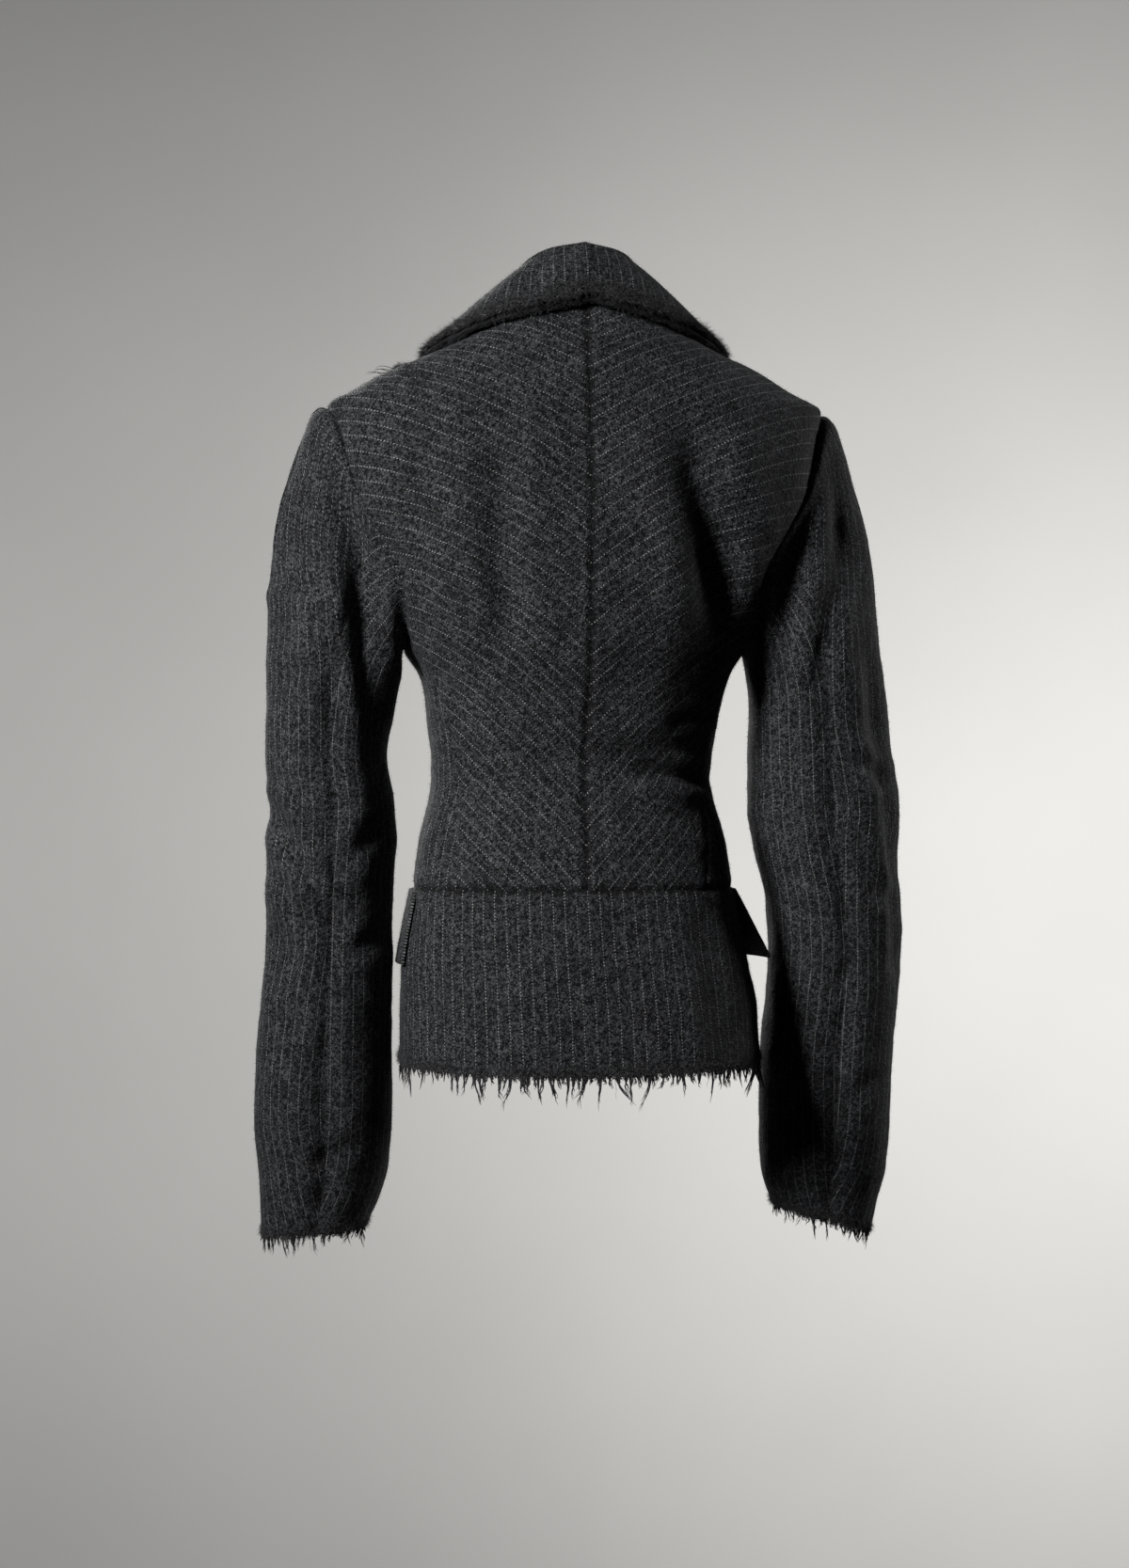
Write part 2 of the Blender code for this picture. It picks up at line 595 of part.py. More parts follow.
def make_sleeve(side, name):
    """Two-piece sleeve: the upper piece goes over the outer side, the under piece inside."""
    back = [0.4 * i / ARMHOLE_STEPS for i in range(ARMHOLE_STEPS + 1)]
    under = steps(0.4, 0.6, UNDERARM_STEPS)[1:]
    front = [0.6 + 0.4 * i / ARMHOLE_STEPS for i in range(1, ARMHOLE_STEPS + 1)]
    loop = back + under + front
    start = min(range(len(loop)), key=lambda i: abs(loop[i] - BACK_SEAM_W))
    stop = min(range(len(loop)), key=lambda i: abs(loop[i] - FRONT_SEAM_W))
    pieces = {
        "sleeve_under_": loop[start:stop + 1],
        "sleeve_upper_": loop[stop:] + [1.0 + w for w in loop[1:start + 1]],
    }
    levels = [(i / CAP_STEPS) ** 1.25 for i in range(CAP_STEPS)] + steps(1.0, 2.0, TUBE_STEPS)
    made = []
    for piece, around in pieces.items():
        places = [[(side, v, w) for w in around] for v in levels]
        made.append(cloth_wall(piece + name, places, sleeve_point, sleeve_normal))
    return made


def collar_profile(angle):
    """Middle line of the collar's cloth at one place round the neck, stand first."""
    side = -1.0 if angle < 0.0 else 1.0
    a = abs(angle)
    fold = Vector([along(COLLAR, "angle", "fold_" + axis, a) for axis in "xyz"])
    fold.x *= side
    edge_t = along(COLLAR, "angle", "edge_t", a)
    edge_angle = side * along(COLLAR, "angle", "edge_angle", a)
    edge = ring_point(BODICE, edge_t, edge_angle)
    edge_normal = outward(lambda p, q: ring_point(BODICE, p, q), edge_t, edge_angle)
    edge += edge_normal * along(COLLAR, "angle", "edge_lift", a)
    base = ring_point(BODICE, 1.0, angle)
    base_normal = outward(lambda p, q: ring_point(BODICE, p, q), 1.0, angle)
    base += Vector((0.0, 0.0, 0.0012)) - base_normal * (0.5 * CLOTH)
    away = Vector((edge.x - fold.x, edge.y - fold.y, 0.0)).normalized()
    line = [base.lerp(fold - away * FOLD_RADIUS, share) for share in steps(0.0, 1.0, 3)]
    for turn in (45.0, 90.0, 135.0):
        rad = math.radians(turn)
        line.append(fold - away * FOLD_RADIUS * math.cos(rad)
                    + Vector((0.0, 0.0, FOLD_RADIUS * math.sin(rad))))
    start = fold + away * FOLD_RADIUS
    bulge = along(COLLAR, "angle", "bulge", a)
    lift = (away + Vector((0.0, 0.0, 1.0))).normalized() * bulge
    for share in steps(0.0, 1.0, 5):
        line.append(start.lerp(edge, share) + lift * 4.0 * share * (1.0 - share))
    return line


def make_collar():
    """Stand and fall in one piece of cloth round the neck."""
    angles = steps(-COLLAR_END, COLLAR_END, 28)
    middle = [collar_profile(a) for a in angles]
    rows, cols = len(middle), len(middle[0])
    outer, inner = [], []
    for i in range(rows):
        line_out, line_in = [], []
        for j in range(cols):
            along_way = middle[min(i + 1, rows - 1)][j] - middle[max(i - 1, 0)][j]
            across = middle[i][min(j + 1, cols - 1)] - middle[i][max(j - 1, 0)]
            normal = along_way.cross(across).normalized()
            line_out.append(middle[i][j] + normal * (0.5 * CLOTH))
            line_in.append(middle[i][j] - normal * (0.5 * CLOTH))
        outer.append(line_out)
        inner.append(line_in)
    return wall("collar", outer, inner)


def make_lapel(side, name):
    """Turned-back top of a front, lying on it from the roll line outwards."""
    outer, inner = [], []
    low, high = LAPEL["t"][0], LAPEL["t"][-1]
    levels = [low] + [t for t in bodice_levels() if low + 0.01 < t < high - 0.01] + [high]
    for t in levels:
        roll = along(FRONT_EDGE, "t", "angle", t)
        width = along(LAPEL, "t", "width", t)
        step = (bodice_point(t, side * (roll - 1.0)) - bodice_point(t, side * roll)).length
        line_out, line_in = [], []
        for u in steps(0.0, 1.0, 6):
            angle = side * (roll - 0.3 - u * width / step)
            normal = bodice_normal(t, angle)
            place = bodice_point(t, angle)
            lift = CLOTH + 0.5 * LAYER_GAP + LAPEL_RISE * math.sin(0.85 * math.pi * u)
            line_out.append(place + normal * lift)
            line_in.append(place + normal * (lift - CLOTH))
        outer.append(line_out)
        inner.append(line_in)
    return wall("lapel_" + name, outer, inner)


def make_button(number, t, front):
    """Round sew-through button seated on the lapped front."""
    normal = bodice_normal(t, -180.0)
    centre = bodice_point(t, -180.0)
    turn = normal.to_track_quat("Z", "Y").to_matrix().to_4x4()
    cloth = BVHTree.FromObject(front, bpy.context.evaluated_depsgraph_get())
    start = 0.02
    reach = [start]
    for spoke in range(24):
        for share in (0.0, 0.5, 1.0):
            a = math.radians(15.0 * spoke)
            rim = Vector((math.cos(a), math.sin(a), 0.0)) * BUTTON_RADIUS * share
            above = centre + turn @ rim + normal * start
            found = cloth.ray_cast(above, -normal, 2.0 * start)[3]
            if found is not None:
                reach.append(found)
    seat = start - min(reach) + 0.5 * LAYER_GAP
    bm = bmesh.new()
    bmesh.ops.create_cone(
        bm, cap_ends=True, segments=20, radius1=BUTTON_RADIUS, radius2=BUTTON_RADIUS,
        depth=BUTTON_HEIGHT)
    rims = [edge for edge in bm.edges if edge.calc_face_angle(0.0) > 1.0]
    bmesh.ops.bevel(bm, geom=rims, offset=0.0006, segments=1, affect="EDGES")
    turn.translation = centre + normal * (seat + 0.5 * BUTTON_HEIGHT)
    bmesh.ops.transform(bm, matrix=turn, verts=bm.verts)
    return finish_object(bm, "button_" + str(number), "horn")


def fringe(name, edge_at, count, length, closed, seed):
    """Narrow strip just below a raw edge, with pointed threads hanging from it.

    edge_at(share) gives a point of the edge, the way down along the cloth and the way out.
    """
    dice = random.Random(seed)
    bm = bmesh.new()
    stations = 2 * count
    rings = []
    total = stations if closed else stations + 1
    for k in range(total):
        place, down, out = edge_at(k / stations)
        top = place + down * (2.0 * SEAM_GAP)
        low = top + down * FRINGE_BAND
        rings.append([bm.verts.new(p) for p in (top, low, low - out * CLOTH, top - out * CLOTH)])
    spans = [(rings[k], rings[(k + 1) % total], k) for k in range(stations)]
    for here, there, k in spans:
        for a, b in ((0, 1), (2, 3), (3, 0)):
            bm.faces.new((here[a], here[b], there[b], there[a]))
        if k % 2 == 0:
            strand(bm, here, there, edge_at((k + 0.5) / stations), length, dice)
        else:
            bm.faces.new((here[1], here[2], there[2], there[1]))
    if not closed:
        bm.faces.new(rings[0])
        bm.faces.new(rings[-1])
    return finish_object(bm, name, "thread")


def strand(bm, here, there, frame, length, dice):
    """One four-sided thread with a bend, from the underside of the strip to a point."""
    place, down, out = frame
    across = (there[1].co - here[1].co).normalized()
    reach = length * dice.uniform(0.45, 1.0)
    sway = across * dice.uniform(-0.35, 0.35) + out * dice.uniform(-0.25, 0.25)
    root = [here[1], here[2], there[2], there[1]]
    centre = sum((vert.co for vert in root), Vector()) / 4.0
    bend = centre + (down + sway * 0.5) * (0.55 * reach)
    tip = centre + (down + sway) * reach
    ring = [bm.verts.new(bend + (vert.co - centre) * 0.6) for vert in root]
    point = bm.verts.new(tip)
    for a in range(4):
        b = (a + 1) % 4
        bm.faces.new((root[a], root[b], ring[b], ring[a]))
        bm.faces.new((ring[a], ring[b], point))


def hem_edge(share):
    """Raw hem, open at centre front."""
    angle = -166.0 + 332.0 * share
    place = peplum_point(1.0, angle)
    down = (place - peplum_point(0.96, angle)).normalized()
    return place, down, peplum_normal(1.0, angle)


def cuff_edge(side):
    def edge_at(share):
        w = share % 1.0
        place = sleeve_point(side, 2.0, w)
        down = (place - sleeve_point(side, 1.97, w)).normalized()
        return place, down, sleeve_normal(side, 2.0, w)
    return edge_at


def clear_scene():
    for old in list(bpy.data.objects):
        bpy.data.objects.remove(old)


def main():
    clear_scene()
    for side, name in ((ROUND_LEFT, "left"), (ROUND_RIGHT, "right")):
        make_backs(side, name)
        make_sides(side, name)
        front = make_fronts(side, name)
        make_sleeve(side, name)
        make_lapel(side, name)
        fringe("cuff_fringe_" + name, cuff_edge(side), CUFF_STRANDS, CUFF_STRAND_LENGTH,
               True, 7 + side)
    make_peplum()
    for row in range(len(FLAP["side"])):
        make_flap(row)
    make_collar()
    for number, t in enumerate(BUTTON_LEVELS, start=1):
        make_button(number, t, front)
    fringe("hem_fringe", hem_edge, HEM_STRANDS, HEM_STRAND_LENGTH, False, 3)


main()
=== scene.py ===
# %% [markdown]
# # A fitted wool flannel jacket in its worn, hollow form
# The solids already give the jacket its size and its main folds. This script dresses them. Every cut
# piece gets a fine shell of cloth with sunken seams and small creases, the raw edges get their loose
# yarns, and the flannel gets its heather, its dotted stripe and its nap.
#
# The solids come in first, because every piece is laid over one of them and rides on the same body.

# %% Load the solids
import itertools
import math

import bpy
import numpy as np
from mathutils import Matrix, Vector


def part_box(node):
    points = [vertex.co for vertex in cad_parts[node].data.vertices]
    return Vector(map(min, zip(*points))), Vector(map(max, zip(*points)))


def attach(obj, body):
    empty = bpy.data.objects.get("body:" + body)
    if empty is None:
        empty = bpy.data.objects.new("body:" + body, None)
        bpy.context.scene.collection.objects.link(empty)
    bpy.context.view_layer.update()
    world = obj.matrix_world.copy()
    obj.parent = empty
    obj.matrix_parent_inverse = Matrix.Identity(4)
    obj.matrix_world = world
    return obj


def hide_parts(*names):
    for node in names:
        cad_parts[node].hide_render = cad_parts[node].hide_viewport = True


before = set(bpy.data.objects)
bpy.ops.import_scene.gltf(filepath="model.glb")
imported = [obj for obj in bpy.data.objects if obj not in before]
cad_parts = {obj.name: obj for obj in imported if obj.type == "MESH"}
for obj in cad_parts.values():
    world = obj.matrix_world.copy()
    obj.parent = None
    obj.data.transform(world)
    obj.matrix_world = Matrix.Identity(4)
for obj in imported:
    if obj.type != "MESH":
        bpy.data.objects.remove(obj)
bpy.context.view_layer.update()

LEFT, RIGHT = 1, -1
SIDES = {LEFT: "left", RIGHT: "right"}

# %% [markdown]
# ## The view and the room
# The picture was taken from behind, level with the waist and a little to one side. A long lens from two
# metres keeps the shape honest. The room is one pale wall that fills the view. It stands well away from
# the jacket, so that the other side can be looked at too.

# %% Camera
camera_data = bpy.data.cameras.new("camera")
camera_data.sensor_fit = "VERTICAL"
camera_data.sensor_height = 36.0
camera_data.lens = 58.517
camera = bpy.data.objects.new("camera", camera_data)
camera.location = (0.264387, 2.083308, -0.400)
camera.rotation_euler = (math.radians(90), 0.0, math.radians(173))
bpy.context.scene.collection.objects.link(camera)
bpy.context.scene.camera = camera
print("camera lens", camera_data.lens, "mm")


# %% A helper that turns points and faces into an object
def mesh_object(name, points, faces, uvs=None):
    """Link a new object; uvs holds one pair of numbers a point for each named layer."""
    mesh = bpy.data.meshes.new(name)
    mesh.from_pydata(np.asarray(points).reshape(-1, 3).tolist(), [], np.asarray(faces).tolist())
    mesh.update()
    corner = np.empty(len(mesh.loops), dtype=np.int32)
    mesh.loops.foreach_get("vertex_index", corner)
    for layer, pairs in (uvs or {}).items():
        values = np.asarray(pairs, dtype=np.float32).reshape(-1, 2)[corner]
        mesh.uv_layers.new(name=layer).uv.foreach_set("vector", values.ravel())
    mesh.shade_smooth()
    made = bpy.data.objects.new(name, mesh)
    bpy.context.scene.collection.objects.link(made)
    return made


def grid_faces(rows, cols, start=0):
    """Four-sided faces of a grid whose points are numbered row by row."""
    index = np.arange(rows * cols).reshape(rows, cols) + start
    return np.stack([index[:-1, :-1], index[:-1, 1:], index[1:, 1:], index[1:, :-1]], -1).reshape(-1, 4)


# %% Wall behind the jacket
WALL_Y = -3.3
wall = np.array([[(x, WALL_Y, z) for x in np.linspace(-12.0, 12.0, 3)] for z in np.linspace(-6.0, 6.0, 3)])
room = mesh_object("room", wall, grid_faces(3, 3))
print("wall at", WALL_Y)

# %% [markdown]
# ## Light
# The light in the picture is a big soft window at the picture's left, behind the camera. It leaves the
# far flank and the inner sides of the sleeves nearly black, and a weak light from the far side keeps a
# trace of cloth to be seen there. Two lights brighten the wall, the right of it more than the left. One
# stands in front of the jacket for the views from there.


# %% Lights
WINDOW_WHITE = (1.0, 0.99, 0.97)
MIDDLE = (0.0, 0.0, -0.36)
NARROW, WIDE = 50.0, 180.0


def area_light(name, place, aim, size, watts, spread):
    """Soft square light that shines from place towards aim; a small spread keeps it off the room."""
    data = bpy.data.lights.new(name, "AREA")
    data.spread = math.radians(spread)
    data.shape, data.size, data.energy, data.color = "SQUARE", size, watts, WINDOW_WHITE
    lamp = bpy.data.objects.new(name, data)
    lamp.location = place
    way = np.subtract(aim, place)
    flat = math.hypot(way[0], way[1])
    lamp.rotation_euler = (math.atan2(flat, -way[2]), 0.0, math.atan2(-way[0], way[1]))
    lamp.visible_camera = False
    bpy.context.scene.collection.objects.link(lamp)


area_light("window", (2.05, 1.65, 0.75), MIDDLE, 0.6, 7.4, NARROW)
area_light("far_window", (-2.35, -0.75, 0.20), MIDDLE, 0.8, 2.8, NARROW)
area_light("wall_wash_right", (-1.7, -1.3, -0.6), (-1.7, WALL_Y, -0.7), 2.4, 60.0, WIDE)
area_light("wall_wash_left", (1.9, -1.3, -0.6), (1.8, WALL_Y, -0.7), 2.4, 21.0, WIDE)
area_light("front_window", (0.6, -2.4, 0.6), (0.0, 0.0, -0.35), 1.0, 7.5, NARROW)

# The air gives a weak fill, but where the camera looks past the room it shows as a pale wall
world = bpy.data.worlds.new("room air")
world.use_nodes = True
air = world.node_tree
fill = air.nodes["Background"]
fill.inputs["Color"].default_value = (0.80, 0.82, 0.86, 1.0)
fill.inputs["Strength"].default_value = 0.015
seen = air.nodes.new("ShaderNodeBackground")
seen.inputs["Color"].default_value = (0.56, 0.56, 0.55, 1.0)
pick = air.nodes.new("ShaderNodeMixShader")
air.links.new(air.nodes.new("ShaderNodeLightPath").outputs["Is Camera Ray"], pick.inputs[0])
air.links.new(fill.outputs[0], pick.inputs[1])
air.links.new(seen.outputs[0], pick.inputs[2])
air.links.new(pick.outputs[0], air.nodes["World Output"].inputs["Surface"])
bpy.context.scene.world = world
bpy.context.scene.view_settings.view_transform = "Standard"

# %% [markdown]
# ## The form, from the same numbers as the solids
# The shells must lie on the solids, so the tables that shape the solids are repeated here, and the same
# curves run through them. Working on whole grids at once with numpy makes a point every few
# millimetres cheap.


# %% Tables and smooth curves through them
def table(names, rows):
    """Turn rows of numbers into named columns."""
    return {name: np.array([row[i] for row in rows], float) for i, name in enumerate(names.split())}


def along(columns, key, name, value):
    """Read one column of a table at any values of its key, on a smooth curve through the rows."""
    xs, ys = columns[key], columns[name]
    value = np.asarray(value, float)
    step = np.diff(ys) / np.diff(xs)
    slope = np.empty(len(xs))
    slope[0], slope[-1] = step[0], step[-1]
    same_way = step[:-1] * step[1:] > 0.0
    total = np.where(same_way, step[:-1] + step[1:], 1.0)
    slope[1:-1] = np.where(same_way, 2.0 * step[:-1] * step[1:] / total, 0.0)
    i = np.clip(np.searchsorted(xs, value, side="left") - 1, 0, len(xs) - 2)
    span = xs[i + 1] - xs[i]
    u = np.clip((value - xs[i]) / span, 0.0, 1.0)
    start = ys[i] * (1.0 + 2.0 * u) * (1.0 - u) ** 2 + span * slope[i] * u * (1.0 - u) ** 2
    return start + ys[i + 1] * u * u * (3.0 - 2.0 * u) + span * slope[i + 1] * u * u * (u - 1.0)


def smooth_step(low, high, value):
    """Rise softly from 0 at low to 1 at high."""
    share = np.clip((value - low) / (high - low), 0.0, 1.0)
    return share * share * (3.0 - 2.0 * share)


def unit(vectors):
    return vectors / np.maximum(np.linalg.norm(vectors, axis=-1, keepdims=True), 1e-12)


# %% The cloth's thickness and the tables of the body form
CLOTH = 0.0020
LAYER_GAP = 0.0006
ARMHOLE_LOW, UNDERARM, SHOULDER_TIP = 0.45, 0.43, 0.77
BODICE = table(
    "t     z_back  z_side  z_front width  y_back  y_front sway   square", [
    (0.000, -0.4840, -0.4840, -0.4840, 0.1312, 0.0960, -0.1040, 0.002, 2.35),
    (0.080, -0.4500, -0.4500, -0.4500, 0.1268, 0.0905, -0.0980, 0.002, 2.35),
    (0.200, -0.3950, -0.3950, -0.3950, 0.1144, 0.0835, -0.0900, 0.003, 2.30),
    (0.310, -0.3450, -0.3450, -0.3450, 0.1197, 0.0920, -0.1060, 0.002, 2.30),
    (0.385, -0.3060, -0.3120, -0.3120, 0.1262, 0.1010, -0.1240, 0.000, 2.40),
    (0.430, -0.2840, -0.2905, -0.2920, 0.1395, 0.1055, -0.1330, 0.000, 2.45),
    (0.550, -0.2220, -0.2350, -0.2350, 0.1650, 0.1115, -0.1400, 0.000, 2.60),
    (0.670, -0.1550, -0.1650, -0.1800, 0.1970, 0.1095, -0.1320, 0.000, 2.60),
    (0.770, -0.0970, -0.0935, -0.1350, 0.2040, 0.1005, -0.1150, 0.000, 2.35),
    (0.800, -0.0820, -0.0845, -0.1240, 0.1895, 0.0975, -0.1090, 0.000, 2.25),
    (0.860, -0.0560, -0.0655, -0.1050, 0.1560, 0.0905, -0.0960, 0.000, 2.15),
    (0.940, -0.0220, -0.0450, -0.0750, 0.1040, 0.0785, -0.0760, 0.000, 2.10),
    (1.000, 0.0000, -0.0100, -0.0500, 0.0660, 0.0605, -0.0560, 0.000, 2.00),
])
PEPLUM = table(
    "t     z_back  z_side  z_front width  y_back  y_front sway   square", [
    (0.00, -0.4840, -0.4840, -0.4840, 0.1312, 0.0960, -0.1040, 0.002, 2.35),
    (0.25, -0.5160, -0.5160, -0.5160, 0.1370, 0.1025, -0.1075, 0.001, 2.35),
    (0.50, -0.5520, -0.5520, -0.5520, 0.1430, 0.1090, -0.1100, -0.001, 2.35),
    (0.75, -0.5900, -0.5890, -0.5890, 0.1470, 0.1145, -0.1120, -0.003, 2.35),
    (1.00, -0.6280, -0.6250, -0.6260, 0.1480, 0.1180, -0.1130, -0.004, 2.35),
])
SIDE_BACK = table("t angle", [
    (0.00, 47.0), (0.08, 50.0), (0.14, 53.0), (0.20, 55.0), (0.26, 57.5),
    (0.30, 60.0), (0.34, 65.0), (0.385, 69.0), (0.45, 70.0),
])
SIDE_FRONT = table("t angle", [(0.00, 128.0), (0.20, 124.0), (0.35, 114.0), (0.45, 108.0)])
ARMHOLE_BACK = table("t angle", [
    (0.45, 70.0), (0.50, 61.0), (0.55, 56.0), (0.61, 57.0),
    (0.67, 61.0), (0.72, 66.0), (0.75, 73.0), (0.77, 90.0),
])
ARMHOLE_FRONT = table("t angle", [
    (0.45, 108.0), (0.50, 117.0), (0.55, 122.0), (0.61, 122.0),
    (0.67, 118.0), (0.72, 113.0), (0.75, 106.0), (0.77, 90.0),
])
FRONT_EDGE = table("t angle", [
    (0.00, 186.5), (0.30, 186.5), (0.36, 185.0), (0.41, 179.4), (0.45, 176.8),
    (0.55, 173.8), (0.67, 171.5), (0.77, 169.0), (0.86, 163.5), (0.94, 153.0), (1.00, 124.0),
])
print("waist to neckline:", round(float(BODICE["z_back"][-1] - BODICE["z_back"][0]), 3), "m")

# %% Tables of the sleeves and of the large folds
SLEEVES = table(
    "z_down left_out left_in right_out right_in y_mid  half_depth", [
    (0.328, 0.2520, 0.1485, 0.2550, 0.1460, 0.000, 0.0570),
    (0.375, 0.2530, 0.1530, 0.2625, 0.1458, -0.002, 0.0555),
    (0.420, 0.2505, 0.1480, 0.2683, 0.1459, -0.004, 0.0560),
    (0.451, 0.2520, 0.1470, 0.2706, 0.1510, -0.007, 0.0555),
    (0.500, 0.2520, 0.1490, 0.2750, 0.1630, -0.012, 0.0530),
    (0.544, 0.2535, 0.1495, 0.2784, 0.1663, -0.017, 0.0520),
    (0.590, 0.2580, 0.1495, 0.2750, 0.1640, -0.023, 0.0530),
    (0.638, 0.2615, 0.1490, 0.2730, 0.1620, -0.030, 0.0535),
    (0.680, 0.2635, 0.1485, 0.2728, 0.1622, -0.037, 0.0525),
    (0.715, 0.2590, 0.1500, 0.2710, 0.1640, -0.043, 0.0490),
    (0.745, 0.2570, 0.1585, 0.2640, 0.1680, -0.047, 0.0430),
    (0.772, 0.2560, 0.1700, 0.2590, 0.1770, -0.050, 0.0370),
])
SLEEVE_TOP_Z = -0.328
CUFF_Z = {LEFT: -0.770, RIGHT: -0.768}
CUFF_SLANT = {LEFT: 0.003, RIGHT: 0.012}
CAP = table("angle outward pull landing", [
    (-270.0, 0.90, 0.82, 0.80), (-220.0, 0.60, 0.65, 0.75), (-160.0, 0.25, 0.45, 0.70),
    (-110.0, 0.10, 0.55, 0.70), (-90.0, 0.10, 0.60, 0.70), (-60.0, 0.10, 0.55, 0.70),
    (-10.0, 0.25, 0.45, 0.70), (40.0, 0.60, 0.65, 0.75), (90.0, 0.90, 0.82, 0.80),
])
BODY_FOLDS = table("angle t half_angle half_t turn depth", [
    (24.0, 0.50, 7.0, 0.15, -8.0, -0.0040),
    (-38.0, 0.52, 11.0, 0.17, 10.0, -0.0055),
    (-24.0, 0.60, 10.0, 0.12, 14.0, 0.0020),
    (40.0, 0.58, 11.0, 0.13, -12.0, 0.0025),
    (-24.0, 0.235, 20.0, 0.022, 0.0, -0.0032),
    (-20.0, 0.285, 18.0, 0.030, 0.0, 0.0022),
    (26.0, 0.215, 16.0, 0.024, 0.0, -0.0022),
    (0.0, 0.70, 14.0, 0.10, 0.0, -0.0015),
    (140.0, 0.25, 13.0, 0.050, 18.0, -0.0030),
    (-142.0, 0.23, 14.0, 0.045, -16.0, -0.0034),
    (132.0, 0.60, 9.0, 0.10, 15.0, -0.0030),
    (-133.0, 0.58, 8.0, 0.11, -14.0, -0.0033),
])
PEPLUM_FOLDS = table("angle t half_angle half_t turn depth", [
    (22.0, 0.85, 9.0, 0.45, 0.0, 0.0022),
    (-30.0, 0.90, 10.0, 0.45, 0.0, 0.0026),
    (-4.0, 0.80, 9.0, 0.40, 0.0, -0.0018),
    (55.0, 0.90, 12.0, 0.40, 0.0, -0.0020),
    (-62.0, 0.90, 12.0, 0.40, 0.0, -0.0022),
    (135.0, 0.90, 12.0, 0.40, 0.0, 0.0025),
    (-140.0, 0.90, 11.0, 0.40, 0.0, 0.0025),
])
SLEEVE_FOLDS = table("side angle z half_angle half_z turn depth", [
    (1, 0.0, -0.560, 15.0, 0.270, 0.0, -0.0032),
    (1, 90.0, -0.165, 46.0, 0.110, 0.0, 0.0052),
    (1, -24.0, -0.225, 20.0, 0.060, -26.0, -0.0060),
    (1, 20.0, -0.262, 26.0, 0.030, 0.0, 0.0042),
    (1, 30.0, -0.440, 30.0, 0.022, 18.0, -0.0050),
    (1, 34.0, -0.485, 34.0, 0.022, 10.0, 0.0042),
    (1, 40.0, -0.530, 32.0, 0.020, -8.0, -0.0036),
    (1, -50.0, -0.470, 26.0, 0.030, -10.0, -0.0040),
    (1, 150.0, -0.470, 34.0, 0.024, 14.0, -0.0055),
    (1, 165.0, -0.520, 34.0, 0.022, -8.0, -0.0045),
    (1, 45.0, -0.700, 36.0, 0.024, 8.0, -0.0030),
    (-1, -2.0, -0.540, 15.0, 0.270, 0.0, -0.0034),
    (-1, 90.0, -0.240, 46.0, 0.150, 0.0, 0.0052),
    (-1, 30.0, -0.180, 16.0, 0.060, 10.0, -0.0058),
    (-1, 62.0, -0.205, 18.0, 0.060, 6.0, 0.0034),
    (-1, -30.0, -0.250, 20.0, 0.050, -20.0, -0.0042),
    (-1, 40.0, -0.350, 30.0, 0.026, 14.0, -0.0042),
    (-1, 52.0, -0.415, 34.0, 0.030, 10.0, 0.0036),
    (-1, 60.0, -0.545, 36.0, 0.022, -8.0, -0.0034),
    (-1, -48.0, -0.440, 28.0, 0.028, 8.0, -0.0038),
    (-1, 160.0, -0.455, 34.0, 0.026, -12.0, -0.0052),
    (-1, 150.0, -0.510, 34.0, 0.022, 10.0, -0.0044),
    (-1, -40.0, -0.680, 34.0, 0.026, -10.0, -0.0036),
])
print("large folds:", len(BODY_FOLDS["t"]) + len(PEPLUM_FOLDS["t"]) + len(SLEEVE_FOLDS["z"]))


# %% Surfaces of the bodice and the peplum
def fold_depth(folds, along_name, across, level, side=0):
    """Add up the soft troughs and ridges of a table."""
    depth = 0.0
    for i in range(len(folds["depth"])):
        if side and folds["side"][i] != side:
            continue
        turn = math.radians(folds["turn"][i])
        off = across - folds["angle"][i]
        if side:
            off = (off + 180.0) % 360.0 - 180.0
        a = off / folds["half_angle"][i]
        b = (level - folds[along_name][i]) / folds["half_" + along_name][i]
        a, b = a * math.cos(turn) - b * math.sin(turn), a * math.sin(turn) + b * math.cos(turn)
        depth = depth + folds["depth"][i] * np.exp(-1.3 * (a * a + b * b))
    return depth


def ring_point(rings, t, angle):
    """Points of the smooth body form; negative angles are on the wearer's right."""
    t, a = np.asarray(t, float), np.radians(np.asarray(angle, float))
    s, c = np.sin(a), np.cos(a)
    power = along(rings, "t", "square", t)
    reach = (np.abs(s) ** power + np.abs(c) ** power) ** (-1.0 / power)
    depth = np.where(c > 0.0, along(rings, "t", "y_back", t), along(rings, "t", "y_front", t))
    z_mid = along(rings, "t", "z_side", t)
    z_end = np.where(c > 0.0, along(rings, "t", "z_back", t), along(rings, "t", "z_front", t))
    x = along(rings, "t", "sway", t) + along(rings, "t", "width", t) * s * reach
    return np.stack(np.broadcast_arrays(x, depth * np.abs(c) * reach, z_mid + (z_end - z_mid) * c * c), -1)


def outward(point_at, t, angle, dt=0.004, da=1.0):
    """Unit normals of a surface given as point_at(t, angle)."""
    t = np.asarray(t, float)
    rise = point_at(np.minimum(t + dt, 1.0), angle) - point_at(np.maximum(t - dt, 0.0), angle)
    return unit(np.cross(rise, point_at(t, angle + da) - point_at(t, angle - da)))


def lap_lift(angle):
    """The right front laps over the left, so it stands off the form near centre front."""
    return np.where(angle > 0.0, 0.0, (CLOTH + LAYER_GAP) * smooth_step(162.0, 171.0, -angle))


# How far the bodice rounds down at the tip of the shoulder, in metres
TIP_SINK = 0.0012


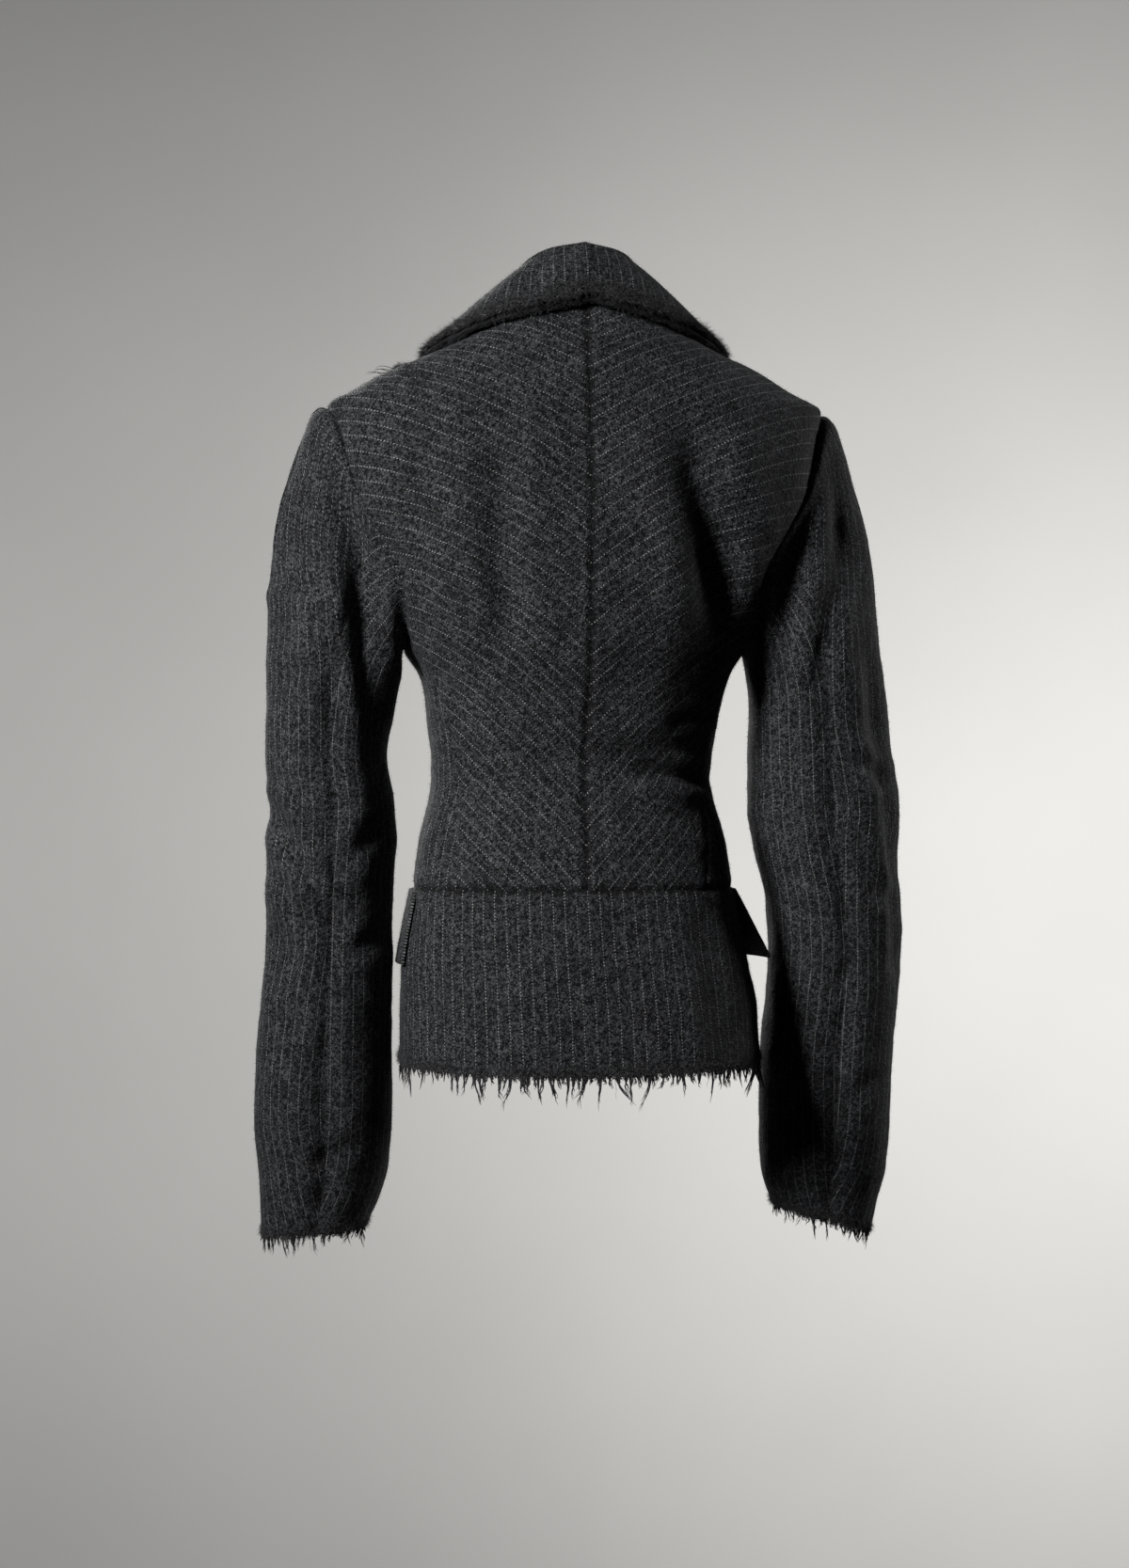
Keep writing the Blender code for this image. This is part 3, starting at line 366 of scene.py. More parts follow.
def bodice_point(t, angle):
    normal = outward(lambda a, b: ring_point(BODICE, a, b), t, angle)
    lift = smooth_step(0.0, 0.06, t) * fold_depth(BODY_FOLDS, "t", angle, t) + lap_lift(angle)
    from_tip = -((t - SHOULDER_TIP) / 0.035) ** 2 - ((np.abs(angle) - 90.0) / 11.0) ** 2
    lift = lift - TIP_SINK * np.exp(from_tip)
    return ring_point(BODICE, t, angle) + normal * lift[..., None]


def peplum_point(t, angle):
    normal = -outward(lambda a, b: ring_point(PEPLUM, a, b), t, angle)
    lift = smooth_step(0.0, 0.25, t) * fold_depth(PEPLUM_FOLDS, "t", angle, t) + lap_lift(angle)
    return ring_point(PEPLUM, t, angle) + normal * lift[..., None]


waist_half = float(bodice_point(0.2, np.array([90.0]))[0, 0])
print("half width at the waist:", round(waist_half, 4), "m")


# %% Surface of the sleeves, from the armhole over the cap to the cuff
# Shares of the way round an armhole: each of its two sides, and under the arm between them
SIDE_SHARE, UNDER_SHARE = 0.4, 0.2
FRONT_START = 0.6
# The sleeve's seams, as shares of the way round it, and the way round it in metres
BACK_SEAM, FRONT_SEAM = 0.25, 0.65
SLEEVE_ROUND = 0.33


def underarm_level(u):
    return UNDERARM + (ARMHOLE_LOW - UNDERARM) * (2.0 * u - 1.0) ** 2


def armhole_place(w):
    """Level and angle of the armhole seam; w runs down the back, under the arm and up the front."""
    w = np.asarray(w, float) % 1.0
    drop = SHOULDER_TIP - ARMHOLE_LOW
    t_back = SHOULDER_TIP - drop * (np.clip(w, 0.0, SIDE_SHARE) / SIDE_SHARE) ** 1.5
    t_front = SHOULDER_TIP - drop * ((1.0 - np.clip(w, FRONT_START, 1.0)) / SIDE_SHARE) ** 1.5
    u = np.clip((w - SIDE_SHARE) / UNDER_SHARE, 0.0, 1.0)
    t_under = underarm_level(u)
    low, high = along(SIDE_BACK, "t", "angle", t_under), along(SIDE_FRONT, "t", "angle", t_under)
    t = np.where(w <= SIDE_SHARE, t_back, np.where(w < FRONT_START, t_under, t_front))
    in_front = along(ARMHOLE_FRONT, "t", "angle", t_front)
    under_or_front = np.where(w < FRONT_START, low + u * (high - low), in_front)
    return t, np.where(w <= SIDE_SHARE, along(ARMHOLE_BACK, "t", "angle", t_back), under_or_front)


def armhole_point(side, w):
    t, angle = armhole_place(w)
    return bodice_point(t, side * angle)


def sleeve_ring(side, z, angle, lower=0.0):
    """Points of the sleeve tube; angle 90 is its outer line, 0 its back and -90 its inner line."""
    name = SIDES[side]
    outer, inner = (along(SLEEVES, "z_down", name + end, -z) for end in ("_out", "_in"))
    s, c = np.sin(np.radians(angle)), np.cos(np.radians(angle))
    x = side * (0.5 * (outer + inner) + 0.5 * (outer - inner) * s)
    y = along(SLEEVES, "z_down", "y_mid", -z) + along(SLEEVES, "z_down", "half_depth", -z) * c
    return np.stack(np.broadcast_arrays(x, y, z - lower * s), -1)


def sleeve_form(side, v, w):
    """Smooth sleeve: v is 0 at the armhole, 1 at the top of the tube and 2 at the cuff."""
    w = w % 1.0
    angle = 90.0 - 360.0 * w
    share = np.clip(v - 1.0, 0.0, 1.0)
    z = SLEEVE_TOP_Z + (CUFF_Z[side] - SLEEVE_TOP_Z) * share
    tube = sleeve_ring(side, z, angle, CUFF_SLANT[side] * share ** 2)
    t, place = armhole_place(w)
    start = bodice_point(t, side * place)
    end = sleeve_ring(side, SLEEVE_TOP_Z, angle)
    settle = unit(sleeve_ring(side, SLEEVE_TOP_Z - 0.01, angle) - end)
    ring_way = armhole_point(side, w + 0.03) - armhole_point(side, w - 0.03)
    leave = unit(np.cross(ring_way, outward(bodice_point, t, side * place))) * side
    cap_angle = np.where(angle > 90.0, angle - 360.0, angle)
    leave[..., 0] += side * along(CAP, "angle", "outward", cap_angle)
    reach = np.linalg.norm(end - start, axis=-1)
    pull = (along(CAP, "angle", "pull", cap_angle) * reach)[..., None]
    landing = (along(CAP, "angle", "landing", cap_angle) * reach)[..., None]
    u = np.clip(v, 0.0, 1.0)[..., None]
    cap = (start * (1.0 + 2.0 * u) * (1.0 - u) ** 2 + unit(leave) * u * (1.0 - u) ** 2 * pull
           + end * u * u * (3.0 - 2.0 * u) + settle * u * u * (u - 1.0) * landing)
    return np.where(np.asarray(v)[..., None] >= 1.0, tube, cap)


# How high the sleeve's head rolls up beside the armhole, and half the width of the back seam's trough
HEAD_ROLL = 0.0120
TROUGH = 0.0100


def sleeve_ways(point_at, side, v, w):
    """Ways down a sleeve and round it, on the surface given as point_at(side, v, w)."""
    down = point_at(side, np.minimum(v + 0.01, 2.0), w) - point_at(side, np.maximum(v - 0.01, 0.0), w)
    return down, point_at(side, v, w + 0.004) - point_at(side, v, w - 0.004)


def sleeve_point(side, v, w):
    """Outer surface of a sleeve with its large folds, the roll of its head and the sunken back seam."""
    base = sleeve_form(side, v, w)
    fade = smooth_step(0.12, 0.5, v) * (1.0 - smooth_step(1.93, 2.0, v))
    lift = fade * fold_depth(SLEEVE_FOLDS, "z", 90.0 - 360.0 * w, base[..., 2], side)
    from_top = (w + 0.5) % 1.0 - 0.5
    head = (1.0 - np.exp(-v / 0.030)) * np.exp(-v / 0.17) * np.exp(-(from_top / 0.17) ** 2)
    z = base[..., 2]
    sink = 0.0028 + 0.0007 * np.sin(70.0 * z + side) + 0.0004 * np.sin(163.0 * z + 2.0 * side)
    beside_seam = np.exp(-((w % 1.0 - BACK_SEAM) * SLEEVE_ROUND / TROUGH) ** 2) * smooth_step(0.45, 1.0, v)
    lift = lift + HEAD_ROLL * head - sink * beside_seam
    return base + unit(np.cross(*sleeve_ways(sleeve_form, side, v, w))) * (side * lift)[..., None]


elbow = sleeve_point(LEFT, np.array([[1.5]]), np.array([[0.0]]))
print("left elbow, outer line:", elbow.ravel().round(3))

# %% [markdown]
# ## Small relief: soft lumps, seams and creases
# Flannel that has been worn is never smooth. Lumps a few centimetres wide come from seeded noise that
# is read in space, so neighbouring pieces agree where they meet. A seam is a narrow stitched groove
# with a small roll on each side and puckers that die out. Creases are listed as lines.


# %% Smooth noise in space
def soft_noise(points, size, seed):
    """Smooth noise from about -1 to 1; its lumps are about size metres across."""
    values = np.random.default_rng(seed).uniform(-1.0, 1.0, 4096)
    place = np.asarray(points, float) / size + 500.0
    cell = np.floor(place).astype(np.int64)
    part = place - cell
    part = part * part * (3.0 - 2.0 * part)
    total = 0.0
    for corner in itertools.product((0, 1), repeat=place.shape[-1]):
        mixed = 0
        weight = 1.0
        for axis, bit in enumerate(corner):
            mixed = mixed ^ ((cell[..., axis] + bit) * (73856093, 19349663, 83492791)[axis])
            weight = weight * (part[..., axis] if bit else 1.0 - part[..., axis])
        total = total + weight * values[mixed & 4095]
    return total


# Depth of the groove, height of the roll and size of the puckers, in metres
SEAMS = {"seam": (0.0010, 0.0004, 0.0009), "soft": (0.0006, 0.0, 0.0007)}


def seam_relief(distance, place_along, seed, kind):
    """Height beside a seam: the stitched groove, a roll next to it and puckers across it."""
    groove, roll, pucker = SEAMS[kind]
    across = np.stack(np.broadcast_arrays(place_along, distance * 0.3), -1)
    pull = soft_noise(across, 0.008, seed) + 0.6 * soft_noise(across, 0.019, seed + 1)
    settle = (1.0 - np.exp(-distance / 0.003)) * np.exp(-distance / 0.013)
    return (-groove * np.exp(-(distance / 0.0030) ** 2)
            + roll * np.exp(-((distance - 0.007) / 0.0034) ** 2) + pucker * pull * settle)


print("noise at the origin:", round(float(soft_noise(np.zeros((1, 3)), 0.03, 1)[0]), 3))

# %% Creases, as lines with a sunken middle and soft banks
# Each group of creases lies on the back (1) or the front (-1) of its pieces. A row holds x and z of
# both ends, half the width, the depth and the share of the banks, in metres
CREASES = [
    ("bodice", 1, [
        (0.136, -0.062, 0.150, -0.098, 0.0030, 0.0022, 0.4),
        (0.076, -0.120, 0.064, -0.300, 0.0130, 0.0036, 0.4),
        (0.118, -0.190, 0.094, -0.275, 0.0080, 0.0018, 0.5),
        (0.134, -0.150, 0.132, -0.262, 0.0120, 0.0034, 0.3),
        (0.100, -0.272, 0.066, -0.300, 0.0060, 0.0014, 0.6),
        (-0.080, -0.120, -0.118, -0.280, 0.0200, 0.0115, 0.25),
        (-0.120, -0.170, -0.148, -0.215, 0.0080, 0.0020, 0.4),
        (-0.034, -0.388, -0.104, -0.398, 0.0065, 0.0046, 0.6),
        (-0.030, -0.420, -0.085, -0.430, 0.0070, 0.0014, 0.6),
        (0.030, -0.382, 0.096, -0.372, 0.0060, 0.0014, 0.6),
        (0.010, -0.400, 0.070, -0.404, 0.0050, 0.0010, 0.6),
        (-0.110, -0.340, -0.060, -0.356, 0.0060, 0.0012, 0.6),
    ]),
    ("bodice", -1, [
        (0.125, -0.240, 0.055, -0.205, 0.0110, 0.0024, 0.4),
        (-0.125, -0.235, -0.060, -0.195, 0.0100, 0.0026, 0.4),
        (0.115, -0.375, 0.040, -0.392, 0.0070, 0.0020, 0.6),
        (-0.112, -0.380, -0.030, -0.390, 0.0070, 0.0022, 0.6),
        (0.100, -0.410, 0.035, -0.418, 0.0060, 0.0014, 0.6),
        (-0.100, -0.414, -0.045, -0.424, 0.0060, 0.0015, 0.6),
        (0.150, -0.120, 0.112, -0.185, 0.0090, 0.0020, 0.4),
        (-0.150, -0.116, -0.116, -0.180, 0.0090, 0.0022, 0.4),
    ]),
    ("sleeve", 1, [
        (0.186, -0.150, 0.172, -0.320, 0.0140, 0.0110, 0.4),
        (0.212, -0.205, 0.200, -0.330, 0.0090, 0.0034, 0.5),
        (0.172, -0.300, 0.156, -0.420, 0.0100, 0.0026, 0.5),
        (0.250, -0.232, 0.205, -0.252, 0.0070, 0.0022, 0.7),
        (0.246, -0.318, 0.214, -0.305, 0.0080, 0.0018, 0.6),
        (0.249, -0.418, 0.207, -0.500, 0.0070, 0.0040, 0.6),
        (0.244, -0.470, 0.212, -0.522, 0.0070, 0.0028, 0.6),
        (0.250, -0.392, 0.220, -0.412, 0.0060, 0.0018, 0.6),
        (0.162, -0.430, 0.190, -0.468, 0.0080, 0.0026, 0.5),
        (0.158, -0.520, 0.188, -0.540, 0.0080, 0.0020, 0.5),
        (0.246, -0.600, 0.216, -0.575, 0.0090, 0.0016, 0.5),
        (0.178, -0.690, 0.215, -0.712, 0.0080, 0.0018, 0.5),
    ]),
    ("sleeve", -1, [
        (0.240, -0.430, 0.180, -0.470, 0.0080, 0.0040, 0.6),
        (0.245, -0.480, 0.170, -0.510, 0.0080, 0.0034, 0.6),
        (0.190, -0.200, 0.165, -0.300, 0.0100, 0.0036, 0.5),
        (0.235, -0.250, 0.200, -0.330, 0.0090, 0.0026, 0.5),
        (0.240, -0.640, 0.190, -0.660, 0.0090, 0.0018, 0.5),
    ]),
    ("sleeve", 1, [
        (-0.196, -0.098, -0.212, -0.205, 0.0080, 0.0014, 0.6),
        (-0.178, -0.150, -0.162, -0.300, 0.0120, 0.0066, 0.5),
        (-0.205, -0.240, -0.190, -0.330, 0.0090, 0.0022, 0.5),
        (-0.236, -0.290, -0.262, -0.470, 0.0080, 0.0026, 0.8),
        (-0.262, -0.440, -0.268, -0.560, 0.0060, 0.0024, 0.8),
        (-0.222, -0.380, -0.258, -0.400, 0.0070, 0.0024, 0.6),
        (-0.226, -0.470, -0.262, -0.500, 0.0070, 0.0022, 0.6),
        (-0.160, -0.405, -0.198, -0.440, 0.0080, 0.0026, 0.5),
        (-0.178, -0.500, -0.205, -0.515, 0.0080, 0.0018, 0.5),
        (-0.255, -0.640, -0.225, -0.665, 0.0090, 0.0018, 0.5),
        (-0.182, -0.690, -0.205, -0.705, 0.0080, 0.0014, 0.5),
    ]),
    ("sleeve", -1, [
        (-0.255, -0.420, -0.180, -0.460, 0.0080, 0.0040, 0.6),
        (-0.260, -0.480, -0.185, -0.500, 0.0080, 0.0032, 0.6),
        (-0.195, -0.195, -0.165, -0.300, 0.0100, 0.0036, 0.5),
        (-0.245, -0.620, -0.195, -0.650, 0.0090, 0.0018, 0.5),
    ]),
    ("peplum", 1, [
        (0.070, -0.500, 0.078, -0.600, 0.0100, 0.0010, 0.6),
        (-0.090, -0.510, -0.108, -0.610, 0.0110, 0.0016, 0.6),
    ]),
    ("peplum", -1, [
        (0.060, -0.505, 0.075, -0.600, 0.0110, 0.0016, 0.6),
        (-0.075, -0.510, -0.088, -0.605, 0.0110, 0.0018, 0.6),
    ]),
]
CREASE_SCALE = {"bodice": 1.1, "sleeve": 1.15, "peplum": 1.3}


def crease_relief(points, group, centre_y):
    """Height of all the creases of one group; centre_y parts the back of a piece from its front."""
    height = np.zeros(points.shape[:-1])
    facing = smooth_step(-0.02, 0.02, points[..., 1] - centre_y)
    for name, face, rows in CREASES:
        for x0, z0, x1, z1, half, depth, bank in rows if name == group else ():
            depth = depth * CREASE_SCALE[name]
            line = np.array([x1 - x0, z1 - z0])
            length = np.hypot(*line)
            rel = np.stack([points[..., 0] - x0, points[..., 2] - z0], -1)
            share = rel @ line / length ** 2
            off = np.abs(rel @ np.array([-line[1], line[0]]) / length) / half
            ends = np.exp(-(np.maximum(np.abs(share - 0.5) - 0.30, 0.0) / 0.20) ** 2)
            shape = -np.exp(-off ** 2) + bank * np.exp(-((off - 1.9) / 0.9) ** 2)
            height += depth * ends * shape * (facing if face > 0 else 1.0 - facing)
    return height


print("creases placed by hand:", sum(len(rows) for name, face, rows in CREASES))

# %% [markdown]
# ## From a grid to a piece of cloth
# Every cut piece is laid out as a grid that is finer beside its edges, where the seams need it. The
# shell gets two coordinate layers. One lies flat on the cloth in metres, for the stripes. The other
# holds the distance to the nearest raw edge and to the nearest seam.


# %% Steps, distances and normals on a grid
def edge_steps(width, coarse=0.0042, fine=(0.0012, 0.0014, 0.0017, 0.0021, 0.0027, 0.0034)):
    """Shares from 0 to 1 across a width, close together at both ends."""
    edge = np.cumsum(fine)
    middle = np.linspace(edge[-1], width - edge[-1], max(2, round((width - 2 * edge[-1]) / coarse) + 1))
    return np.concatenate([[0.0], edge[:-1], middle, width - edge[:-1][::-1], [width]]) / width


def run_lengths(points, axis):
    """Distance walked along the rows or the columns of a grid of points."""
    steps = np.linalg.norm(np.diff(points, axis=axis), axis=-1)
    walked = np.cumsum(steps, axis=axis)
    return np.insert(walked, 0, 0.0, axis=axis)


def grid_normals(points, away):
    """Normals of a grid, turned to the side that away points to."""
    normals = unit(np.cross(np.gradient(points, axis=0), np.gradient(points, axis=1)))
    return normals * np.sign(np.sum(normals * away))


def cloth_area(points):
    """Area of a grid of points in square metres."""
    a, b = np.diff(points, axis=0)[:, :-1], np.diff(points, axis=1)[:-1]
    c, d = np.diff(points, axis=0)[:, 1:], np.diff(points, axis=1)[1:]
    return 0.5 * float(np.linalg.norm(np.cross(a, b), axis=-1).sum()
                       + np.linalg.norm(np.cross(c, d), axis=-1).sum())


def shell(name, outer, inner, uvs):
    """Closed shell of cloth between two grids of points."""
    rows, cols = outer.shape[:2]
    count = rows * cols
    index = np.arange(count).reshape(rows, cols)
    rim = np.concatenate([index[0], index[1:, -1], index[-1, -2::-1], index[-2:0:-1, 0]])
    after = np.roll(rim, -1)
    faces = np.concatenate([
        grid_faces(rows, cols), grid_faces(rows, cols, count)[:, ::-1],
        np.stack([after, rim, rim + count, after + count], -1)])
    a, b, d = outer[0, 0], outer[0, 1], outer[1, 0]
    if np.dot(np.cross(b - a, d - a), outer[0, 0] - inner[0, 0]) < 0.0:
        faces = faces[:, ::-1]
    doubled = {key: np.concatenate([value.reshape(-1, 2)] * 2) for key, value in uvs.items()}
    made = mesh_object(name, np.concatenate([outer.reshape(-1, 3), inner.reshape(-1, 3)]), faces, doubled)
    made.data.set_sharp_from_angle(angle=math.radians(55.0))
    return made


print("steps over 100 mm:", len(edge_steps(0.1)))

# %% A helper that makes one cut piece and keeps what the nap needs
PIECES = {}
EDGES = ("first_row", "last_row", "first_col", "last_col")
NO_SEAMS = ("", "", "", "")
TUCK_IN, TUCK_DOWN = 0.0024, 0.0008


def cut_piece(name, points, away, seams, cloth, group, centre_y=0.0, seed=1, softness=1.0, calm=1.0,
              normals=None, tuck=False):
    """Lay the small relief over a grid of points and close it into a shell of cloth.

    seams says for each of EDGES whether it is a seam, raw, or neither; cloth gives the flat coordinates;
    calm is 0 where nothing may lift the cloth off its neighbour; normals are those of the shared
    surface, so that neighbours move the same way; tuck pushes the first row under the neighbour.
    """
    seams = dict(zip(EDGES, seams))
    across, down = run_lengths(points, 1), run_lengths(points, 0)
    distance = dict(zip(EDGES, (down, down[-1:] - down, across, across[:, -1:] - across)))
    normals = grid_normals(points, away) if normals is None else normals
    height = softness * (0.00045 * soft_noise(points, 0.013, 11) + 0.0010 * soft_noise(points, 0.034, 12)
                         + 0.00022 * soft_noise(points, 0.006, 13))
    height = calm * (height + crease_relief(points, group, centre_y))
    to_seam, to_raw = np.full(across.shape, 0.05), np.full(across.shape, 0.05)
    for number, edge in enumerate(EDGES):
        place_along = across if edge.endswith("row") else down
        if seams[edge] in SEAMS:
            height = height + seam_relief(distance[edge], place_along, seed + 10 * number, seams[edge])
            # The seam distance drives the cloth's painted shade beside seams. A soft seam counts as four
            # millimetres further off, so its painted shade is lighter.
            to_seam = np.minimum(to_seam, distance[edge] + (0.004 if seams[edge] == "soft" else 0.0))
        elif seams[edge] == "raw":
            to_raw = np.minimum(to_raw, distance[edge])
    outer = points + normals * height[..., None]
    if tuck:
        outer[0] -= unit(outer[2] - outer[0]) * TUCK_IN + normals[0] * TUCK_DOWN
    inner = outer - grid_normals(outer, away) * CLOTH
    made = shell(name + "_cloth", outer, inner, {"cloth": cloth, "edge": np.stack([to_raw, to_seam], -1)})
    area = cloth_area(outer)
    width, length = float(across[:, -1].max()), float(down[-1].max())
    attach(made, "root")
    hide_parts(name)
    PIECES[name] = {"object": made, "outer": outer, "normals": grid_normals(outer, away),
                    "flat": (max(width, area / (0.98 * length)), length), "area": area}


def from_axis(points):
    """Directions away from the upright middle line."""
    return points * np.array([1.0, 1.0, 0.0])


def straight_cloth(points, start=0.0):
    """Flat coordinates on the straight grain; start is the share of the width where they begin."""
    run = run_lengths(points, 1)
    return np.stack([run - start * run[:, -1:], run_lengths(points, 0)], -1)


# %% [markdown]
# ## The back: two halves on the bias
# The back is cut in two halves, and on each the stripes run down towards the centre back seam, so they
# meet in a chevron. Bias cloth hangs softly, and the stripes swing flatter towards the shoulders. The
# flat coordinates say so directly: one number is constant along each stripe.

# %% Shared levels of the bodice
low_levels = np.linspace(0.0, ARMHOLE_LOW, 50)
armhole_levels = armhole_place(SIDE_SHARE * (1.0 - np.arange(1, 45) / 44.0))[0]
top_levels = np.linspace(SHOULDER_TIP, 1.0, 36)[1:]
waist_levels = np.array([0.0025, 0.005, 0.0085, 0.013])
LEVELS = np.concatenate([low_levels[:1], waist_levels, low_levels[2:], armhole_levels, top_levels])[:, None]


def seam_edge(low_table, armhole_table, t):
    """Angle of a panel's outer edge: side seam, then armhole, then shoulder seam."""
    upper = np.where(t < SHOULDER_TIP, along(armhole_table, "t", "angle", t), 90.0)
    return np.where(t <= ARMHOLE_LOW, along(low_table, "t", "angle", t), upper)


def armhole_calm(points, edge):
    """0 along the armhole's edge of a bodice panel (edge is its first or last column), 1 a little inside."""
    walked = run_lengths(points, 1)
    off = np.abs(walked - walked[:, [edge]])
    return 1.0 - smooth_step(0.40, 0.45, LEVELS) * (1.0 - smooth_step(0.0, 0.022, off))


# %% Back halves
STRIPE_TILT = table("t tangent", [
    (0.00, 1.05), (0.20, 1.05), (0.45, 0.90), (0.60, 0.80), (0.77, 0.68), (1.00, 0.60)])
BIAS = math.radians(43.0)


def bias_cloth(points, side):
    """Flat coordinates of a back half: constant first number along a stripe."""
    a = run_lengths(points, 1)
    b = run_lengths(points[:, :1], 0)
    swing = along(STRIPE_TILT, "t", "tangent", LEVELS) / math.tan(BIAS) * (1.0 - 0.22 * (a / 0.18) ** 2)
    u = 0.68 * b + 0.20 * b * b - math.sin(BIAS) * a * swing
    return np.stack([u + 0.003, side * (a * math.cos(BIAS) + b * math.sin(BIAS))], -1)


for side, word in SIDES.items():
    angles = side * edge_steps(0.17) * seam_edge(SIDE_BACK, ARMHOLE_BACK, LEVELS)
    points = bodice_point(LEVELS, angles)
    cut_piece("back_" + word, points, from_axis(points), ("seam", "", "seam", "soft"),
              bias_cloth(points, side), "bodice", seed=100 + side, calm=armhole_calm(points, -1),
              normals=outward(bodice_point, LEVELS, angles))
    print("back", word, points.shape[:2], round(PIECES["back_" + word]["area"], 4), "m2")

# %% [markdown]
# ## Fronts and side panels
# These are cut on the straight grain, so their stripes hang plumb. On the fronts they are counted from
# centre front, on the side panels from the middle of the panel.

# %% Fronts and sides
for side, word in SIDES.items():
    low, high = seam_edge(SIDE_FRONT, ARMHOLE_FRONT, LEVELS), along(FRONT_EDGE, "t", "angle", LEVELS)
    angles = side * (low + (high - low) * edge_steps(0.15))
    points = bodice_point(LEVELS, angles)
    to_centre = bodice_point(LEVELS, side * high)[..., 0] * side
    u = run_lengths(points, 1)
    down = np.broadcast_to(run_lengths(points[:, -1:], 0), u.shape)
    cloth = np.stack([u[:, -1:] - u + to_centre, down], -1)
    cut_piece("front_" + word, points, from_axis(points), ("seam", "", "soft", ""),
              cloth, "bodice", seed=200 + side, calm=armhole_calm(points, 0),
              normals=outward(bodice_point, LEVELS, angles))
    share_up = edge_steps(0.20)[:, None]
    u = edge_steps(0.10)[None, :]
    t = share_up * underarm_level(u)
    low, high = along(SIDE_BACK, "t", "angle", t), along(SIDE_FRONT, "t", "angle", t)
    angles = side * (low + (high - low) * u)
    points = bodice_point(t, angles)
    cut_piece("side_" + word, points, from_axis(points), ("seam", "soft", "soft", "soft"),
              straight_cloth(points, 0.5), "bodice", seed=300 + side,
              normals=outward(bodice_point, t, angles))
    print("front and side", word, [round(PIECES[n + word]["area"], 4) for n in ("front_", "side_")], "m2")

# %% [markdown]
# ## Peplum
# The peplum is straight cloth with a little flare, so its stripes fan slightly. Its lower edge is raw:
# the grid's last rows are shifted up and down by up to two millimetres, so that the line of the hem is
# as uneven as torn cloth.

# %% Peplum pieces
PEPLUM_SEAM = 79.4
FRONT_LOW = 186.5


def ragged(points, seed, reach=0.0018):
    """Shift the last rows of a grid along the cloth by an uneven amount."""
    down = run_lengths(points, 0)
    to_edge = down[-1:] - down
    way = unit(points[-1] - points[-4])
    uneven = soft_noise(points[-1], 0.006, seed) + 0.7 * soft_noise(points[-1], 0.017, seed + 1)
    return points + (way * (reach * uneven)[:, None])[None] * np.exp(-to_edge / 0.006)[..., None]


def peplum_piece(name, low, high, seams, seed):
    t = edge_steps(0.143)[:, None]
    hem_line = peplum_point(1.0, np.linspace(low, high, 60))
    width = float(np.linalg.norm(np.diff(hem_line, axis=0), axis=1).sum())
    points = peplum_point(t, low + (high - low) * edge_steps(width)[None, :])
    points = ragged(points, seed)
    run = run_lengths(points, 1)
    centre = run[:, [int(np.argmin(np.abs(low + (high - low) * edge_steps(width))))]]
    u = (run - centre) / (1.0 + 0.4 * (run[:, -1:] / run[:1, -1:] - 1.0))
    cloth = np.stack([u, run_lengths(points, 0)], -1)
    cut_piece(name, points, from_axis(points), seams, cloth, "peplum", seed=seed)
    print(name, points.shape[:2], round(width, 3), "m wide at the hem")


peplum_piece("peplum_back", -PEPLUM_SEAM, PEPLUM_SEAM, ("seam", "raw", "soft", "soft"), 401)
peplum_piece("peplum_front_left", PEPLUM_SEAM, FRONT_LOW, ("seam", "raw", "soft", ""), 411)
peplum_piece("peplum_front_right", -PEPLUM_SEAM, -FRONT_LOW, ("seam", "raw", "soft", ""), 421)

# %% [markdown]
# ## Sleeves
# Each sleeve is an upper and an under piece. The seam between them runs down the back of the arm in
# full view, in a soft trough that the cloth puckers into, so it gets its own wider hollow.

# %% Sleeve pieces
SLEEVE_CUT = {"sleeve_under_": (BACK_SEAM, FRONT_SEAM, 0.135, 600),
              "sleeve_upper_": (FRONT_SEAM, 1.0 + BACK_SEAM, 0.205, 700)}
v_levels = np.concatenate([edge_steps(0.24)[:-6], 1.0 + edge_steps(0.45)[5:]])[:, None]


def sleeve_centre(points, side):
    """Directions away from the middle line of a sleeve."""
    z = points[..., 2]
    name = SIDES[side]
    outer, inner = (along(SLEEVES, "z_down", name + end, -z) for end in ("_out", "_in"))
    x = 0.5 * side * (outer + inner)
    y = along(SLEEVES, "z_down", "y_mid", -z)
    return points - np.stack([x, y, z], -1)


def sleeve_normals(side, v, w):
    """Normals that are the same on both sides of a sleeve's seams."""
    return unit(np.cross(*sleeve_ways(sleeve_point, side, v, w))) * side


for side, word in SIDES.items():
    for piece, (first, last, wide, seed) in SLEEVE_CUT.items():
        around = first + (last - first) * edge_steps(wide)
        points = ragged(sleeve_point(side, v_levels, around[None, :]), 501 + side)
        cut_piece(piece + word, points, sleeve_centre(points, side), ("soft", "raw", "soft", "soft"),
                  straight_cloth(points, 0.5), "sleeve", centre_y=-0.012, seed=seed + side,
                  calm=smooth_step(0.0, 0.030, run_lengths(points, 0)), tuck=True,
                  normals=sleeve_normals(side, v_levels, around[None, :]))
        print(piece + word, points.shape[:2], round(PIECES[piece + word]["area"], 4), "m2")

# %% [markdown]
# ## Pocket flaps and lapels
# Both are cloth that lies on cloth. The flaps hang from the waist seam and their lower edges stand off
# the hip. The lapels are the tops of the fronts, turned back along the roll line.

